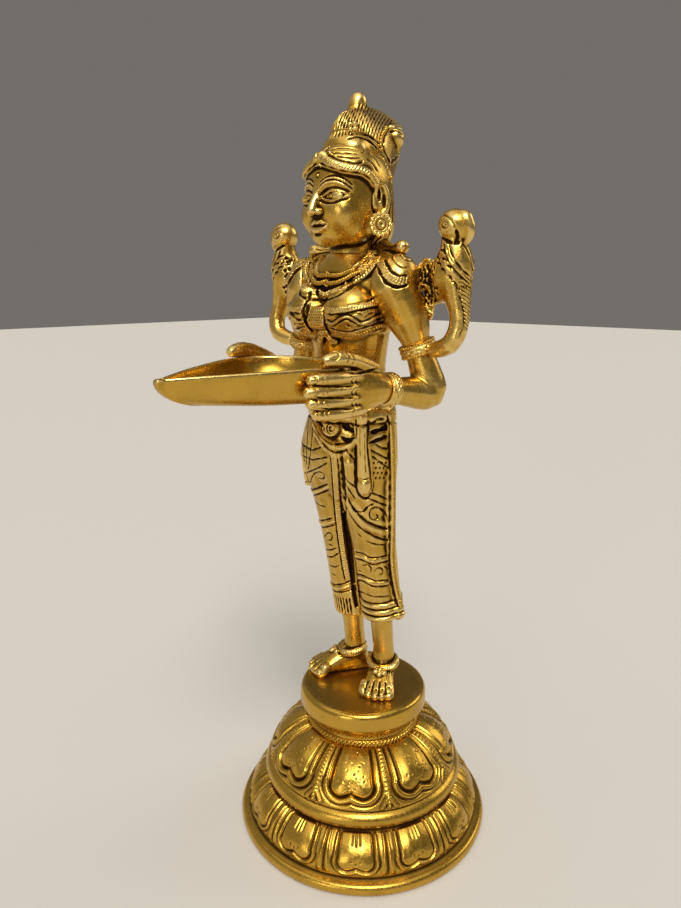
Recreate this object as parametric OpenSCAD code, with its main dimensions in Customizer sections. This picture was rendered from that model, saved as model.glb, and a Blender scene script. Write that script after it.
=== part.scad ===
/* [Pedestal] */
// Radius of the cushion pad that the lady stands on, at its widest
pad_r = 30; // [26:0.5:40]
// Height of the cushion pad above the rope collar
pad_h = 7.5; // [5:0.5:14]
// How far the pad overhangs its own neck and the top of the upper tier
pad_overhang = 3.4; // [2:0.1:6]
// Height of the twisted rope collar under the pad
collar_h = 2.6; // [1.5:0.1:5]
// How much wider the upper lotus tier is at its foot than at its top
upper_flare = 18; // [10:0.5:26]
// Height of the upper lotus tier
upper_h = 27; // [18:0.5:40]
// How far the polished bead stands out past the upper tier
bead_swell = 2.6; // [1:0.1:6]
// Height of the polished bead between the tiers
bead_h = 9.6; // [6:0.2:16]
// How far the bead stands out past the top of the lower tier
bead_step = 1.6; // [0.5:0.1:5]
// How much wider the lower lotus tier is at its foot than at its top
lower_flare = 9.6; // [5:0.2:18]
// Height of the lower lotus tier
lower_h = 14.4; // [9:0.2:24]
// Width of the ledge from the lower tier to the edge of the foot rim
rim_ledge = 4.4; // [2:0.2:10]
// Height of the plain foot rim
rim_h = 6.4; // [4:0.2:12]
// How far the tier walls swell out from a straight slope
tier_bulge = 2.4; // [0.5:0.1:5]
// Thickness of the cast pedestal walls
wall = 3.2; // [2:0.1:5]
// Thickness of the plate that closes the upper tier
plate_t = 4; // [3:0.5:8]
// Width of the ring seat between the two tiers
seat_w = 4; // [2.5:0.5:6]
// Depth of the locating lip below that seat
lip_h = 3; // [2:0.5:6]
/* [Petals] */
// Number of petals round the lower tier
lower_petals = 12; // [8:1:16]
// Number of petals round the upper tier
upper_petals = 8; // [6:1:12]
// Height of the petals above the tier wall
petal_relief = 1.1; // [0.5:0.1:2]
// Gap left between two petals
petal_gap = 2.4; // [1:0.1:5]
// Plain margin above and below the petals, along the slope
petal_margin = 1.6; // [0.8:0.1:4]
/* [Legs and hips] */
// Height of the trouser hem above the pad
hem_h = 32; // [24:0.5:40]
// Height of the knee above the hem
knee_h = 41; // [32:0.5:56]
// Height of the hips above the knee
hip_h = 45; // [36:0.5:60]
// Height of the waist seam above the hips
waist_h = 26; // [18:0.5:36]
// Half distance between the two legs
leg_x = 9.2; // [8:0.2:12]
// How far the feet stand to her right of the pedestal axis
leg_sway = 2.2; // [0:0.2:5]
// How far the hips and knees swing to her right of the pedestal axis
hip_sway = 3.6; // [0:0.2:6]
// Radius of a trouser leg at the hem
hem_r = 8.6; // [7.5:0.1:11]
// Radius of a trouser leg at the knee
knee_r = 9.4; // [8.5:0.1:12]
// Half width of the hips
hip_a = 23; // [19:0.5:28]
// Half depth of the hips
hip_b = 17; // [14:0.5:21]
// How far back the ankles stand from the pedestal axis
ankle_y = 7; // [2:0.5:10]
// How far forward the waist leans from the pedestal axis
waist_lean = 9; // [4:0.5:14]
// Radius of the bare ankles
ankle_r = 4.4; // [3.8:0.1:5.4]
// Length of her left foot from the ankle to the toes
left_foot_l = 17; // [14:0.5:21]
// Length of her right foot from the ankle to the toes
right_foot_l = 20.5; // [16:0.5:22]
// Half width of a foot at the toes
foot_w = 8.2; // [6:0.2:9.2]
// Thickness of the anklets
anklet_t = 1.4; // [0.8:0.1:2.2]
// Height of the anklets above the soles
anklet_z = 11; // [9:0.5:14]
// How much higher the hem of her left leg hangs than the right one
hem_rise = 4; // [0:0.5:8]
// Thickness of the rolled swags on that hem
roll_r = 1.5; // [0.8:0.1:2.4]
// Radius of the belt buckle
buckle_r = 4.2; // [3:0.1:6]
// Turn-out of her left foot in degrees
left_turn = 29; // [0:1:50]
// Turn-out of her right foot in degrees
right_turn = 38; // [0:1:50]
/* [Torso and head] */
// Half width of the waist
waist_a = 16.5; // [13:0.5:20]
// Half depth of the waist
waist_b = 12.5; // [10:0.5:16]
// Height of the bust above the waist seam
bust_h = 33; // [26:0.5:42]
// Radius of each breast
breast_r = 11; // [8:0.2:13]
// Thickness of the bodice over the body
bodice_t = 0.8; // [0.4:0.1:1.6]
// Height of the bodice
bodice_h = 11.5; // [8:0.5:16]
// Thickness of the necklaces
necklace_t = 1.2; // [0.7:0.1:2]
// Radius of the hair curl that lies on each shoulder
curl_r = 2.8; // [2:0.1:4]
// Height of the shoulders above the bust
shoulder_h = 15; // [11:0.5:20]
// Half width of the shoulders
shoulder_a = 23.5; // [20:0.5:29]
// Height of the neck seam above the shoulders
neck_rise = 7; // [5:0.5:10]
// Radius of the neck
neck_r = 8.6; // [7:0.1:10]
// Height of the chin above the neck seam
chin_h = 3; // [2:0.5:6]
// Height of the head from the chin to the crown
head_h = 39; // [33:0.5:46]
// Half width of the head with its hair
head_a = 16; // [13.5:0.2:19]
// Half depth of the head with its hair
head_b = 18.6; // [16:0.2:22]
// Height of the topknot above its seat
knot_h = 30.5; // [24:0.5:36]
// Half length of the topknot
knot_b = 19; // [15:0.5:22]
// Half width of the topknot at its seat
knot_a = 10.5; // [8:0.5:13]
// Backward tilt of the topknot in degrees
knot_tilt = 36; // [28:1:44]
// Half width of the pear-shaped hair ornaments
pear_r = 4.2; // [3:0.1:5]
// Radius of the small knob on the topknot
knob_r = 3.5; // [2.5:0.1:5]
// Radius of the round ear ornaments
earring_r = 5.1; // [4:0.1:6.2]
// Turn of the ears towards the front in degrees
ear_turn = 30; // [0:1:35]
// Thickness of the ear ornaments
earring_t = 2.6; // [1.8:0.1:4]
/* [Arms and hands] */
// Radius of the arm at the shoulder
shoulder_r = 10.2; // [8:0.1:11]
// Radius of the arm where the armlet sits
armlet_arm_r = 5.7; // [4.8:0.1:7]
// Radius of the arm at the elbow
elbow_r = 6.8; // [5.5:0.1:8]
// Radius of the wrist
wrist_r = 5.2; // [4.4:0.1:6.2]
// Height of the armlet below the shoulder
armlet_drop = 30; // [24:0.5:38]
// Height of the elbow below the armlet
elbow_drop = 18.5; // [14:0.5:25]
// How far the elbow stands out past the shoulder
elbow_out = 12; // [8:0.5:18]
// Distance the forearm reaches forward from the elbow to the wrist
forearm_y = 21; // [16:0.5:28]
// Width of the armlet and of the bangle
band_w = 5; // [3:0.2:8]
// Thickness of the armlet and of the bangle
band_t = 1.7; // [1:0.1:3]
// Length of the hand from wrist to finger tips
hand_l = 41; // [33:0.5:48]
// Thickness of one finger
finger_d = 4.3; // [3.4:0.1:5.2]
/* [Lamp dish] */
// Half width of the dish at its widest
dish_a = 27; // [20:0.5:34]
// Length of the dish from its widest point forward to the spout
spout_l = 59; // [45:1:75]
// Length of the dish from its widest point back to the belly
stern_l = 20; // [14:0.5:28]
// Depth of the dish outside
dish_h = 13; // [10:0.5:20]
// Wall of the dish
dish_wall = 2; // [1.4:0.1:3]
// How far the rim dips towards the spout
spout_dip = 1.6; // [0:0.1:3]
// Gap between the dish and the belly
belly_gap = 5; // [3:0.5:12]
/* [Parrots] */
// Height of the parrot's eye above the armlet
parrot_h = 46; // [38:0.5:56]
// Radius of the parrot's head
parrot_head_r = 5.9; // [4.5:0.1:7]
// Radius of the parrot's body at the wings
parrot_body_r = 7.6; // [6:0.1:9]
// Radius of the parrot's tail
tail_r = 3.8; // [3:0.1:5]
// How far the tail stands out past the armlet
tail_out = 9; // [6:0.5:14]
/* [Fixings] */
// Radius of the two studs under the feet
stud_r = 2; // [1.5:0.1:2.5]
// Radius of the washers on those studs
washer_r = 4.6; // [3.8:0.1:6]
// Thickness of the washers
washer_t = 1; // [0.6:0.1:2]
// Radius of the hexagon nuts across their corners
nut_r = 4; // [3.4:0.1:5]
// Height of the nuts
nut_h = 3.4; // [2.4:0.1:5]
// Radius of the waist and neck tenons
tenon_r = 4.5; // [3:0.1:6]
// Length of those tenons
tenon_l = 7; // [4:0.5:10]
// Radius of the small pegs at wrists, armlets and topknot
peg_r = 2.4; // [1.6:0.1:3]
// Length of the small pegs
peg_l = 5; // [3:0.5:7]
// Clearance round every tenon, peg, stud and ring
fit = 0.15; // [0.05:0.01:0.3]
/* [Hidden] */
$fn = 64;
brass = "goldenrod";
old_brass = "darkgoldenrod";
bright_brass = "gold";

// Radii of the pedestal, from the pad outwards
neck_of_pad_r = pad_r - pad_overhang;
upper_top_r = neck_of_pad_r + 0.4;
upper_r = upper_top_r + upper_flare;
bead_r = upper_r + bead_swell;
lower_top_r = bead_r - bead_step;
lower_r = lower_top_r + lower_flare;
rim_r = lower_r + rim_ledge;
lip_r = upper_r - seat_w;

// Heights of the pedestal, from the floor up
lower_z = rim_h;
bead_z = lower_z + lower_h;
upper_z = bead_z + bead_h;
plate_z = upper_z + upper_h;
collar_z = plate_z + collar_h;
sole_z = collar_z + pad_h;

// Heights of the figure, from the pad up
hem_z = sole_z + hem_h;
knee_z = hem_z + knee_h;
hip_z = knee_z + hip_h;
waist_z = hip_z + waist_h;
bust_z = waist_z + bust_h;
shoulder_z = bust_z + shoulder_h;
neck_z = shoulder_z + neck_rise;
chin_z = neck_z + chin_h;
crown_z = chin_z + head_h;
waist_y = -waist_lean;
chest_y = waist_y - 2.5;
head_y = chest_y - 0.5;
hip_y = waist_y + 0.6;
knee_y = (ankle_y + hip_y) / 2 - 0.4;
hem_y = ankle_y - 2;
hip_x = -hip_sway;

// Arms, from the shoulders down
armlet_z = shoulder_z - armlet_drop;
elbow_z = armlet_z - elbow_drop;
elbow_y = chest_y + 12;
elbow_x = shoulder_a + elbow_out;
armlet_x = shoulder_a + elbow_out * 0.66;
armlet_y = chest_y + 7;
wrist_y = elbow_y - forearm_y;
wrist_z = elbow_z + 3.4;

// The dish hangs between the hands
rim_top_z = wrist_z + 2 * finger_d + 1.6;
widest_y = waist_y - waist_b - belly_gap - stern_l;
hand_x = dish_a + finger_d / 2 + fit;
wrist_x = hand_x + 0.6;
dish_centre = [0, widest_y - (spout_l - stern_l) * 0.3];

// Number of sides on lofted forms
body_sides = 24;
limb_sides = 16;
finger_sides = 8;

function unit(v) = v / norm(v);
function mix(a, b, t) = a + (b - a) * t;
function flip(list) = [for (i = [len(list) - 1 : -1 : 0]) list[i]];

// Point between two guide stations on a smooth curve through all of them
function spline_at(p, i, t) =
    let (n = len(p), a = p[max(i - 1, 0)], b = p[i], c = p[min(i + 1, n - 1)], d = p[min(i + 2, n - 1)])
    0.5 * (2 * b + (c - a) * t + (2 * a - 5 * b + 4 * c - d) * t * t + (3 * b - a - 3 * c + d) * t * t * t);
function smooth(p, steps) =
    [for (i = [0 : len(p) - 2]) for (j = [0 : steps - 1]) spline_at(p, i, j / steps), p[len(p) - 1]];

// Level oval section at a station [x, y, z, half width, half depth]
function level_ring(s, sides, grow = 0) =
    [for (i = [0 : sides - 1]) let (t = 360 * i / sides)
        [s[0] + (s[3] + grow) * cos(t), s[1] + (s[4] + grow) * sin(t), s[2]]];
function level_rings(stations, sides, grow = 0) = [for (s = stations) level_ring(s, sides, grow)];

// Oval sections square to a path; ref is the direction that stays level across the section
function centre_of(s) = [s[0], s[1], s[2]];
function path_dir(s, i) = unit(centre_of(s[min(i + 1, len(s) - 1)]) - centre_of(s[max(i - 1, 0)]));
function path_ring(s, i, sides, ref, grow = 0) =
    let (t = path_dir(s, i), u = unit(cross(ref, t)), v = cross(t, u))
    [for (j = [0 : sides - 1]) let (w = 360 * j / sides)
        centre_of(s[i]) + (s[i][3] + grow) * cos(w) * u + (s[i][4] + grow) * sin(w) * v];
function path_rings(s, sides, ref, grow = 0) =
    [for (i = [0 : len(s) - 1]) path_ring(s, i, sides, ref, grow)];

// Solid through a list of sections, closed flat at both ends
module skin(rings) {
    n = len(rings[0]);
    m = len(rings);
    sides = [for (i = [0 : m - 2]) for (j = [0 : n - 1]) let (k = (j + 1) % n)
        each [[i * n + j, (i + 1) * n + j, (i + 1) * n + k], [i * n + j, (i + 1) * n + k, i * n + k]]];
    ends = [[for (j = [0 : n - 1]) j], [for (j = [n - 1 : -1 : 0]) (m - 1) * n + j]];
    polyhedron([for (r = rings) each r], concat(sides, ends), convexity = 8);
}

// Places its children at a point with their z axis along a direction
module along(p, dir) {
    d = unit(dir);
    translate(p) rotate([0, acos(d[2]), atan2(d[1], d[0])]) children();
}

// Round ring of a given radius and thickness, lying level
module ring(r, t) {
    rotate([0, 0, 90]) rotate_extrude() translate([r, 0]) circle(t, $fn = 24);
}

// Half plane as a large block, its face through p and its solid on the side that dir points to
module half_space(p, dir, size = 200) {
    along(p, dir) translate([-size / 2, -size / 2, 0]) cube(size);
}

// Swelling tier wall from a foot point to a top point, as [radius, height] pairs
function tier_curve(r0, z0, r1, z1, out = 0, steps = 8) =
    let (n = unit([z1 - z0, r0 - r1]), c = [(r0 + r1) / 2, (z0 + z1) / 2] + n * 2 * tier_bulge)
    [for (i = [0 : steps]) let (t = i / steps)
        (1 - t) * (1 - t) * [r0, z0] + 2 * t * (1 - t) * c + t * t * [r1, z1] + n * out];
lower_curve = tier_curve(lower_r, lower_z, lower_top_r, bead_z);
upper_curve = tier_curve(upper_r, upper_z, upper_top_r, plate_z);

// Half round edge between two heights, standing out to a radius
function bead_curve(r, z0, z1, depth, steps = 8) =
    [for (i = [0 : steps]) let (a = -90 + 180 * i / steps)
        [r - depth + depth * cos(a), (z0 + z1) / 2 + (z1 - z0) / 2 * sin(a)]];

// Notched petal outline of a given width and height, notch at the bottom, tip at the top
function petal_outline(w, h, steps = 20) =
    [for (i = [0 : steps - 1]) let (t = 360 * i / steps)
        [w / 2 * pow(sin(t), 3), -h * ((13 * cos(t) - 5 * cos(2 * t) - 2 * cos(3 * t) - cos(4 * t)) + 2.5) / 29]];

// Ring of raised petals lying on a tier
module petals(count, r0, z0, r1, z1) {
    slope = norm([r0 - r1, z1 - z0]);
    lean = atan2(r0 - r1, z1 - z0);
    mid_r = (r0 + r1) / 2;
    width = 2 * PI * mid_r / count - petal_gap;
    height = slope - 2 * petal_margin;
    root = 0.8;
    depth = 2 * tier_bulge + petal_relief + 8;
    outer = tier_curve(r0, z0, r1, z1, petal_relief);
    inner = tier_curve(r0, z0, r1, z1, -root);
    intersection() {
        rotate_extrude() polygon(concat(outer, flip(inner)));
        for (i = [0 : count - 1])
            rotate(360 * (i + 0.5) / count - 90) translate([mid_r, 0, (z0 + z1) / 2])
                rotate([90, 0, 90]) rotate([-lean, 0, 0]) translate([0, 0, -6])
                    linear_extrude(depth) polygon(petal_outline(width, height));
    }
}

// Places of the two studs, under the ankles
left_ankle = [leg_x - leg_sway, ankle_y, sole_z];
right_ankle = [-leg_x - leg_sway, ankle_y, sole_z];
ankles = [left_ankle, right_ankle];
stud_up = 7;
stud_down = plate_t + washer_t + nut_h + 2;
nut_top_z = plate_z - plate_t - washer_t;
module stud_holes(z0, z1) {
    for (a = ankles) translate([a[0], a[1], z0]) cylinder(r = stud_r + fit, h = z1 - z0);
}

module foot_tier() color(brass) {
    edge = 2;
    inner_r = lower_r - wall;
    groove = 1;
    outline = concat(
        [[inner_r, 0]],
        bead_curve(rim_r, 0, rim_h - groove, edge),
        [[lower_r - groove, rim_h - groove], [lower_r - groove, lower_z]],
        lower_curve,
        [[lower_top_r - groove, bead_z], [lower_top_r - groove, bead_z + groove]],
        bead_curve(bead_r, bead_z + groove, upper_z, bead_h / 2),
        [[lip_r + fit, upper_z], [lip_r + fit, bead_z - wall], [inner_r, lower_z - wall]]);
    rotate_extrude() polygon(outline);
    petals(lower_petals, lower_r, lower_z, lower_top_r, bead_z);
}

module upper_tier() color(brass) {
    hollow_r = lip_r - wall;
    outline = concat(
        [[lip_r, upper_z - lip_h], [lip_r, upper_z]],
        upper_curve,
        [[0, plate_z], [0, plate_z - plate_t], [upper_top_r - wall, plate_z - plate_t],
        [hollow_r, upper_z], [hollow_r, upper_z - lip_h]]);
    difference() {
        union() {
            rotate_extrude() polygon(outline);
            petals(upper_petals, upper_r, upper_z, upper_top_r, plate_z);
        }
        stud_holes(plate_z - plate_t - 1, plate_z + 1);
    }
}

module rope_collar() color(old_brass) {
    neck_r_in = neck_of_pad_r - collar_h / 2;
    rotate_extrude() polygon(concat([[neck_r_in + fit, plate_z], [neck_r_in + fit + 0.1, plate_z]],
        bead_curve(neck_of_pad_r + collar_h / 2, plate_z, collar_z, collar_h / 2),
        [[neck_r_in + fit, collar_z]]));
}

module standing_pad() color(bright_brass) {
    edge = 1.8;
    widest_h = pad_h * 0.5;
    difference() {
        rotate_extrude() polygon(concat(
            [[0, plate_z], [neck_of_pad_r - collar_h / 2, plate_z], [neck_of_pad_r - collar_h / 2, collar_z]],
            [for (a = [0 : 15 : 90]) [pad_r - pad_overhang * (1 - sin(a)), collar_z + widest_h * (1 - cos(a))]],
            [for (a = [15 : 15 : 90]) [pad_r - edge * (1 - cos(a)), collar_z + widest_h + (pad_h - widest_h) * sin(a)]],
            [[0, sole_z]]));
        stud_holes(plate_z - 1, sole_z + 1);
    }
}

module foot_studs() color("tan") {
    for (a = ankles)
        translate([a[0], a[1], plate_z - stud_down])
            cylinder(r = stud_r, h = sole_z + stud_up - plate_z + stud_down);
}

module stud_washers() color("tan") {
    for (a = ankles) translate([a[0], a[1], nut_top_z]) difference() {
        cylinder(r = washer_r, h = washer_t);
        translate([0, 0, -1]) cylinder(r = stud_r + fit, h = washer_t + 2);
    }
}

module stud_nuts() color("tan") {
    for (a = ankles) translate([a[0], a[1], nut_top_z - nut_h]) difference() {
        cylinder(r = nut_r, h = nut_h, $fn = 6);
        translate([0, 0, -1]) cylinder(r = stud_r + fit, h = nut_h + 2);
    }
}

// One foot of a given length, its ankle over the origin and its toes towards -y, with a flat sole
module foot(foot_l) {
    stations = smooth([
        [-7, 3.2, 6], [-5, 5, 12], [0, 5.8, 16], [foot_l * 0.35, 6.2, 12.4],
        [foot_l * 0.7, foot_w - 0.8, 8], [foot_l * 0.95, foot_w, 5], [foot_l + 1, foot_w - 1.2, 2.8]], 2);
    rings = [for (s = stations) [for (j = [0 : limb_sides - 1]) let (w = 360 * j / limb_sides)
        [s[1] * cos(w), -s[0], max(0, s[2] * (0.45 + 0.55 * sin(w)))]]];
    skin(rings);
    toe_r = foot_w / 5;
    for (i = [-2 : 2])
        translate([i * 2 * toe_r * 0.95, -foot_l + abs(i) * 0.7, toe_r]) sphere(toe_r, $fn = 20);
    anklet_r = ankle_r + anklet_t * 1.1;
    anklet_y = -1.6;
    anklet_tilt = 10;
    translate([0, anklet_y, anklet_z]) rotate([anklet_tilt, 0, 0]) {
        ring(anklet_r, anklet_t);
        translate([0, -anklet_r, 0]) sphere(anklet_t * 1.4, $fn = 24);
    }
}

// One trouser leg with its bare ankle, on the side that side points to
module leg(side) {
    hem_x = side * leg_x - leg_sway;
    knee_x = side * leg_x - hip_sway;
    thigh_x = side * leg_x + hip_x;
    ankle = side > 0 ? left_ankle : right_ankle;
    edge_z = side > 0 ? hem_z + hem_rise : hem_z;
    roll_tilt = 6;
    skin(level_rings(smooth([
        [hem_x, hem_y, edge_z, hem_r, hem_r],
        [mix(hem_x, knee_x, 0.5), mix(hem_y, knee_y, 0.5), mix(hem_z, knee_z, 0.5), hem_r + 0.2, hem_r + 0.2],
        [knee_x, knee_y, knee_z, knee_r, knee_r],
        [thigh_x, mix(knee_y, hip_y, 0.6), mix(knee_z, hip_z, 0.55), knee_r + 1.8, knee_r + 2.8],
        [thigh_x, hip_y, hip_z - 4, hip_a - leg_x - 1.4, hip_b - 1.4],
        [thigh_x, hip_y, hip_z + 8, hip_a - leg_x - 5, hip_b - 5]], 2), limb_sides));
    skin(level_rings(smooth([
        [ankle[0], ankle[1], sole_z + 9, ankle_r + 1, ankle_r + 1],
        [ankle[0], ankle[1] - 0.4, sole_z + 16, ankle_r, ankle_r],
        [hem_x, hem_y, edge_z + 1, ankle_r + 0.8, ankle_r + 0.8]], 2), limb_sides));
    if (side > 0)
        for (i = [0 : 2]) translate([hem_x, hem_y, edge_z + roll_r * (1 + 2.2 * i)])
            rotate([roll_tilt, 0, 0]) ring(hem_r - roll_r * 0.3, roll_r);
    translate(ankle) rotate(side > 0 ? left_turn : -right_turn) foot(side > 0 ? left_foot_l : right_foot_l);
}

// Flat strip of hanging cloth along a path of [x, y, z, half size across, half size towards facing]
module sash(stations, facing = [0, 1, 0]) {
    skin(path_rings(smooth(stations, 2), finger_sides, facing));
}

module draped_legs() color(brass) {
    belt_z = waist_z - 9;
    sash_w = 3;
    sash_t = 1.5;
    difference() {
        union() {
            leg(1);
            leg(-1);
            skin(level_rings(smooth([
                [hip_x, hip_y + 1, hip_z - 24, hip_a - 12, hip_b - 10],
                [hip_x, hip_y + 1, hip_z - 15, hip_a - 4, hip_b - 4],
                [hip_x, hip_y, hip_z - 3, hip_a, hip_b],
                [hip_x * 0.5, mix(hip_y, waist_y, 0.5), mix(hip_z, waist_z, 0.55), hip_a - 3.4, hip_b - 2.2],
                [0, waist_y, waist_z, waist_a, waist_b]], 2), body_sides));
            skin(level_rings([
                [0, waist_y, belt_z - 4, waist_a + 3.4, waist_b + 2.2],
                [0, waist_y, belt_z - 2, waist_a + 5, waist_b + 3.8],
                [0, waist_y, belt_z + 2, waist_a + 4.2, waist_b + 3.4],
                [0, waist_y, belt_z + 4, waist_a + 2, waist_b + 1.8]], body_sides));
            sash([
                [hip_a - 3, hip_y + 2, belt_z, sash_t, sash_w],
                [hip_x + hip_a + 0.4, hip_y + 4, hip_z - 4, sash_t, sash_w],
                [hip_x + leg_x + knee_r + 2, hip_y + 6, mix(knee_z, hip_z, 0.35), sash_t, sash_w],
                [leg_x - hip_sway + knee_r + 0.6, hem_y - 1, mix(hem_z, knee_z, 0.5), sash_t, sash_w],
                [leg_x - leg_sway + hem_r + 1.6, hem_y + 2, hem_z + 4, sash_t, sash_w]]);
            sash([
                [-hip_a + 4, hip_y - 2, belt_z, sash_t, sash_w],
                [hip_x - hip_a - 0.6, hip_y - 2, hip_z - 2, sash_t, sash_w],
                [hip_x - hip_a + 1, hip_y - 1, hip_z - 22, sash_t, sash_w]]);
            ribbon_x = hip_x + hip_a * 0.8;
            ribbon_facing = [0.7, -0.7, 0];
            buckle_seat = [2, waist_y - waist_b - 1.2, belt_z - 6];
            buckle_facing = [0.15, -1, 0.1];
            buckle_h = 3.2;
            sash([
                [ribbon_x - 1.4, hip_y - hip_b * 0.68, belt_z, sash_w, sash_t],
                [ribbon_x, hip_y - hip_b * 0.6, hip_z + 5, sash_w, sash_t],
                [ribbon_x + 0.2, hip_y - hip_b * 0.5, hip_z - 6, sash_w, sash_t],
                [ribbon_x - 0.4, hip_y - hip_b * 0.42, hip_z - 17, sash_w, sash_t + 0.4]], ribbon_facing);
            along(buckle_seat, buckle_facing) cylinder(r = buckle_r, h = buckle_h);
        }
        for (a = ankles) translate([a[0], a[1], sole_z - 1]) cylinder(r = stud_r + fit, h = stud_up + 1 + fit);
    }
    translate([0, waist_y, waist_z - 1]) cylinder(r = tenon_r, h = tenon_l + 1);
}

// Outside of the torso, from the waist seam to the neck seam
module torso_form(grow = 0) {
    skin(level_rings(smooth([
        [0, waist_y, waist_z, waist_a, waist_b],
        [0, waist_y - 0.5, waist_z + bust_h * 0.3, waist_a - 0.4, waist_b],
        [0, mix(waist_y, chest_y, 0.7), waist_z + bust_h * 0.68, waist_a + 2.6, waist_b + 0.6],
        [0, chest_y, bust_z, shoulder_a - 3, waist_b + 0.8],
        [0, chest_y, mix(bust_z, shoulder_z, 0.66), shoulder_a - 0.6, waist_b - 0.6],
        [0, chest_y, shoulder_z, shoulder_a - 3, waist_b - 2.4],
        [0, head_y + 1, mix(shoulder_z, neck_z, 0.6), neck_r + 3, neck_r + 1],
        [0, head_y + 1, neck_z, neck_r, neck_r]], 2), body_sides, grow));
}

// Necklace of a given radius hanging in front, its lowest point down from the neck by drop
module necklace(r, drop, t) {
    hang = asin(drop / r);
    intersection() {
        translate([0, head_y - 0.5, shoulder_z + 2]) rotate([hang, 0, 0]) ring(r, t);
        half_space([0, head_y - 1, shoulder_z], [0, -1, 0]);
    }
}

bodice_top = bust_z + 2;
bodice_z = bodice_top - bodice_h;
module bodice_form(grow = 0) {
    trim = 0.6;
    skin(level_rings([
        [0, chest_y + 0.7, bodice_z, waist_a + 2.9, waist_b + 0.6],
        [0, chest_y + 0.7, bodice_z + trim, waist_a + 2.9 + bodice_t, waist_b + 0.6 + bodice_t],
        [0, chest_y, bodice_top - trim, shoulder_a - 2.7 + bodice_t, waist_b + 0.6 + bodice_t],
        [0, chest_y, bodice_top, shoulder_a - 2.7, waist_b + 0.6]], body_sides, grow));
}

module torso() color(brass) {
    breast_x = breast_r * 0.9;
    breast_y = chest_y - waist_b + breast_r * 0.42;
    knot_t = 3;
    curl_x = shoulder_a - 2;
    curl_y = head_y + 2.6;
    curl_z = shoulder_z + 7;
    difference() {
        union() {
            torso_form();
            for (s = [-1, 1]) {
                translate([s * breast_x, breast_y, bust_z - 1]) sphere(breast_r);
                translate([s * curl_x, curl_y, curl_z]) sphere(curl_r);
                along([s * neck_r, curl_y, neck_z - 2], [s * (curl_x - neck_r), 0, curl_z - neck_z + 2])
                    cylinder(r1 = curl_r * 0.6, r2 = curl_r * 0.8, h = curl_x - neck_r);
            }
            intersection() {
                for (s = [-1, 1]) translate([s * breast_x, breast_y, bust_z - 1]) sphere(breast_r + bodice_t);
                translate([-shoulder_a, breast_y - 2 * breast_r, bodice_z])
                    cube([2 * shoulder_a, 2 * breast_r, bodice_h]);
            }
            bodice_form();
            translate([0, breast_y - breast_r * 0.44, bodice_z + bodice_h / 2]) rotate([90, 0, 0])
                cylinder(r = bodice_h * 0.3, h = knot_t);
            necklace(neck_r + 2.4, 4.4, necklace_t * 0.8);
            necklace(neck_r + 4.8, 7.4, necklace_t);
            necklace(neck_r + 7.6, 11.6, necklace_t * 1.1);
        }
        translate([0, waist_y, waist_z - 1]) cylinder(r = tenon_r + fit, h = tenon_l + 1 + fit);
        translate([0, head_y + 1, neck_z - tenon_l - fit]) cylinder(r = tenon_r + fit, h = tenon_l + 2);
    }
}

// Seat of the topknot, a plane tilted back over the crown, and the ears
knot_dir = [0, sin(knot_tilt), cos(knot_tilt)];
knot_seat = [0, head_y + 9, crown_z - 11];
ear_z = chin_z + head_h * 0.34;
ear_r = 4;
ear_t = 2;
ear_x = head_a - 1.4;
ear_y = head_y + 1.6;
module at_ear(side) translate([side * ear_x, ear_y, ear_z]) rotate([0, 0, -side * ear_turn]) children();

module head_form(grow = 0) {
    skin(level_rings(smooth([
        [0, head_y + 1, neck_z, neck_r, neck_r],
        [0, head_y + 1, chin_z + 1, neck_r, neck_r],
        [0, head_y - 4, chin_z + 2.4, neck_r - 0.4, neck_r + 3],
        [0, head_y - 2.4, chin_z + head_h * 0.18, head_a - 3.6, head_b - 4.4],
        [0, head_y - 0.6, chin_z + head_h * 0.36, head_a - 1.6, head_b - 1.4],
        [0, head_y, chin_z + head_h * 0.56, head_a - 0.6, head_b],
        [0, head_y + 0.4, chin_z + head_h * 0.76, head_a - 1.6, head_b - 1],
        [0, head_y + 0.6, chin_z + head_h * 0.92, head_a - 6, head_b - 5],
        [0, head_y + 0.6, crown_z, head_a - 12, head_b - 12]], 2), body_sides, grow));
}

// Almond or lip shaped swelling, wide across x
module pod(p, a, b, c) {
    translate(p) skin([for (i = [-3 : 3]) let (k = sqrt(max(0.02, 1 - i * i / 9)))
        [for (j = [0 : 7]) let (w = 45 * j) [a * i / 3, b * k * sin(w), -c * k * cos(w)]]]);
}

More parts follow.
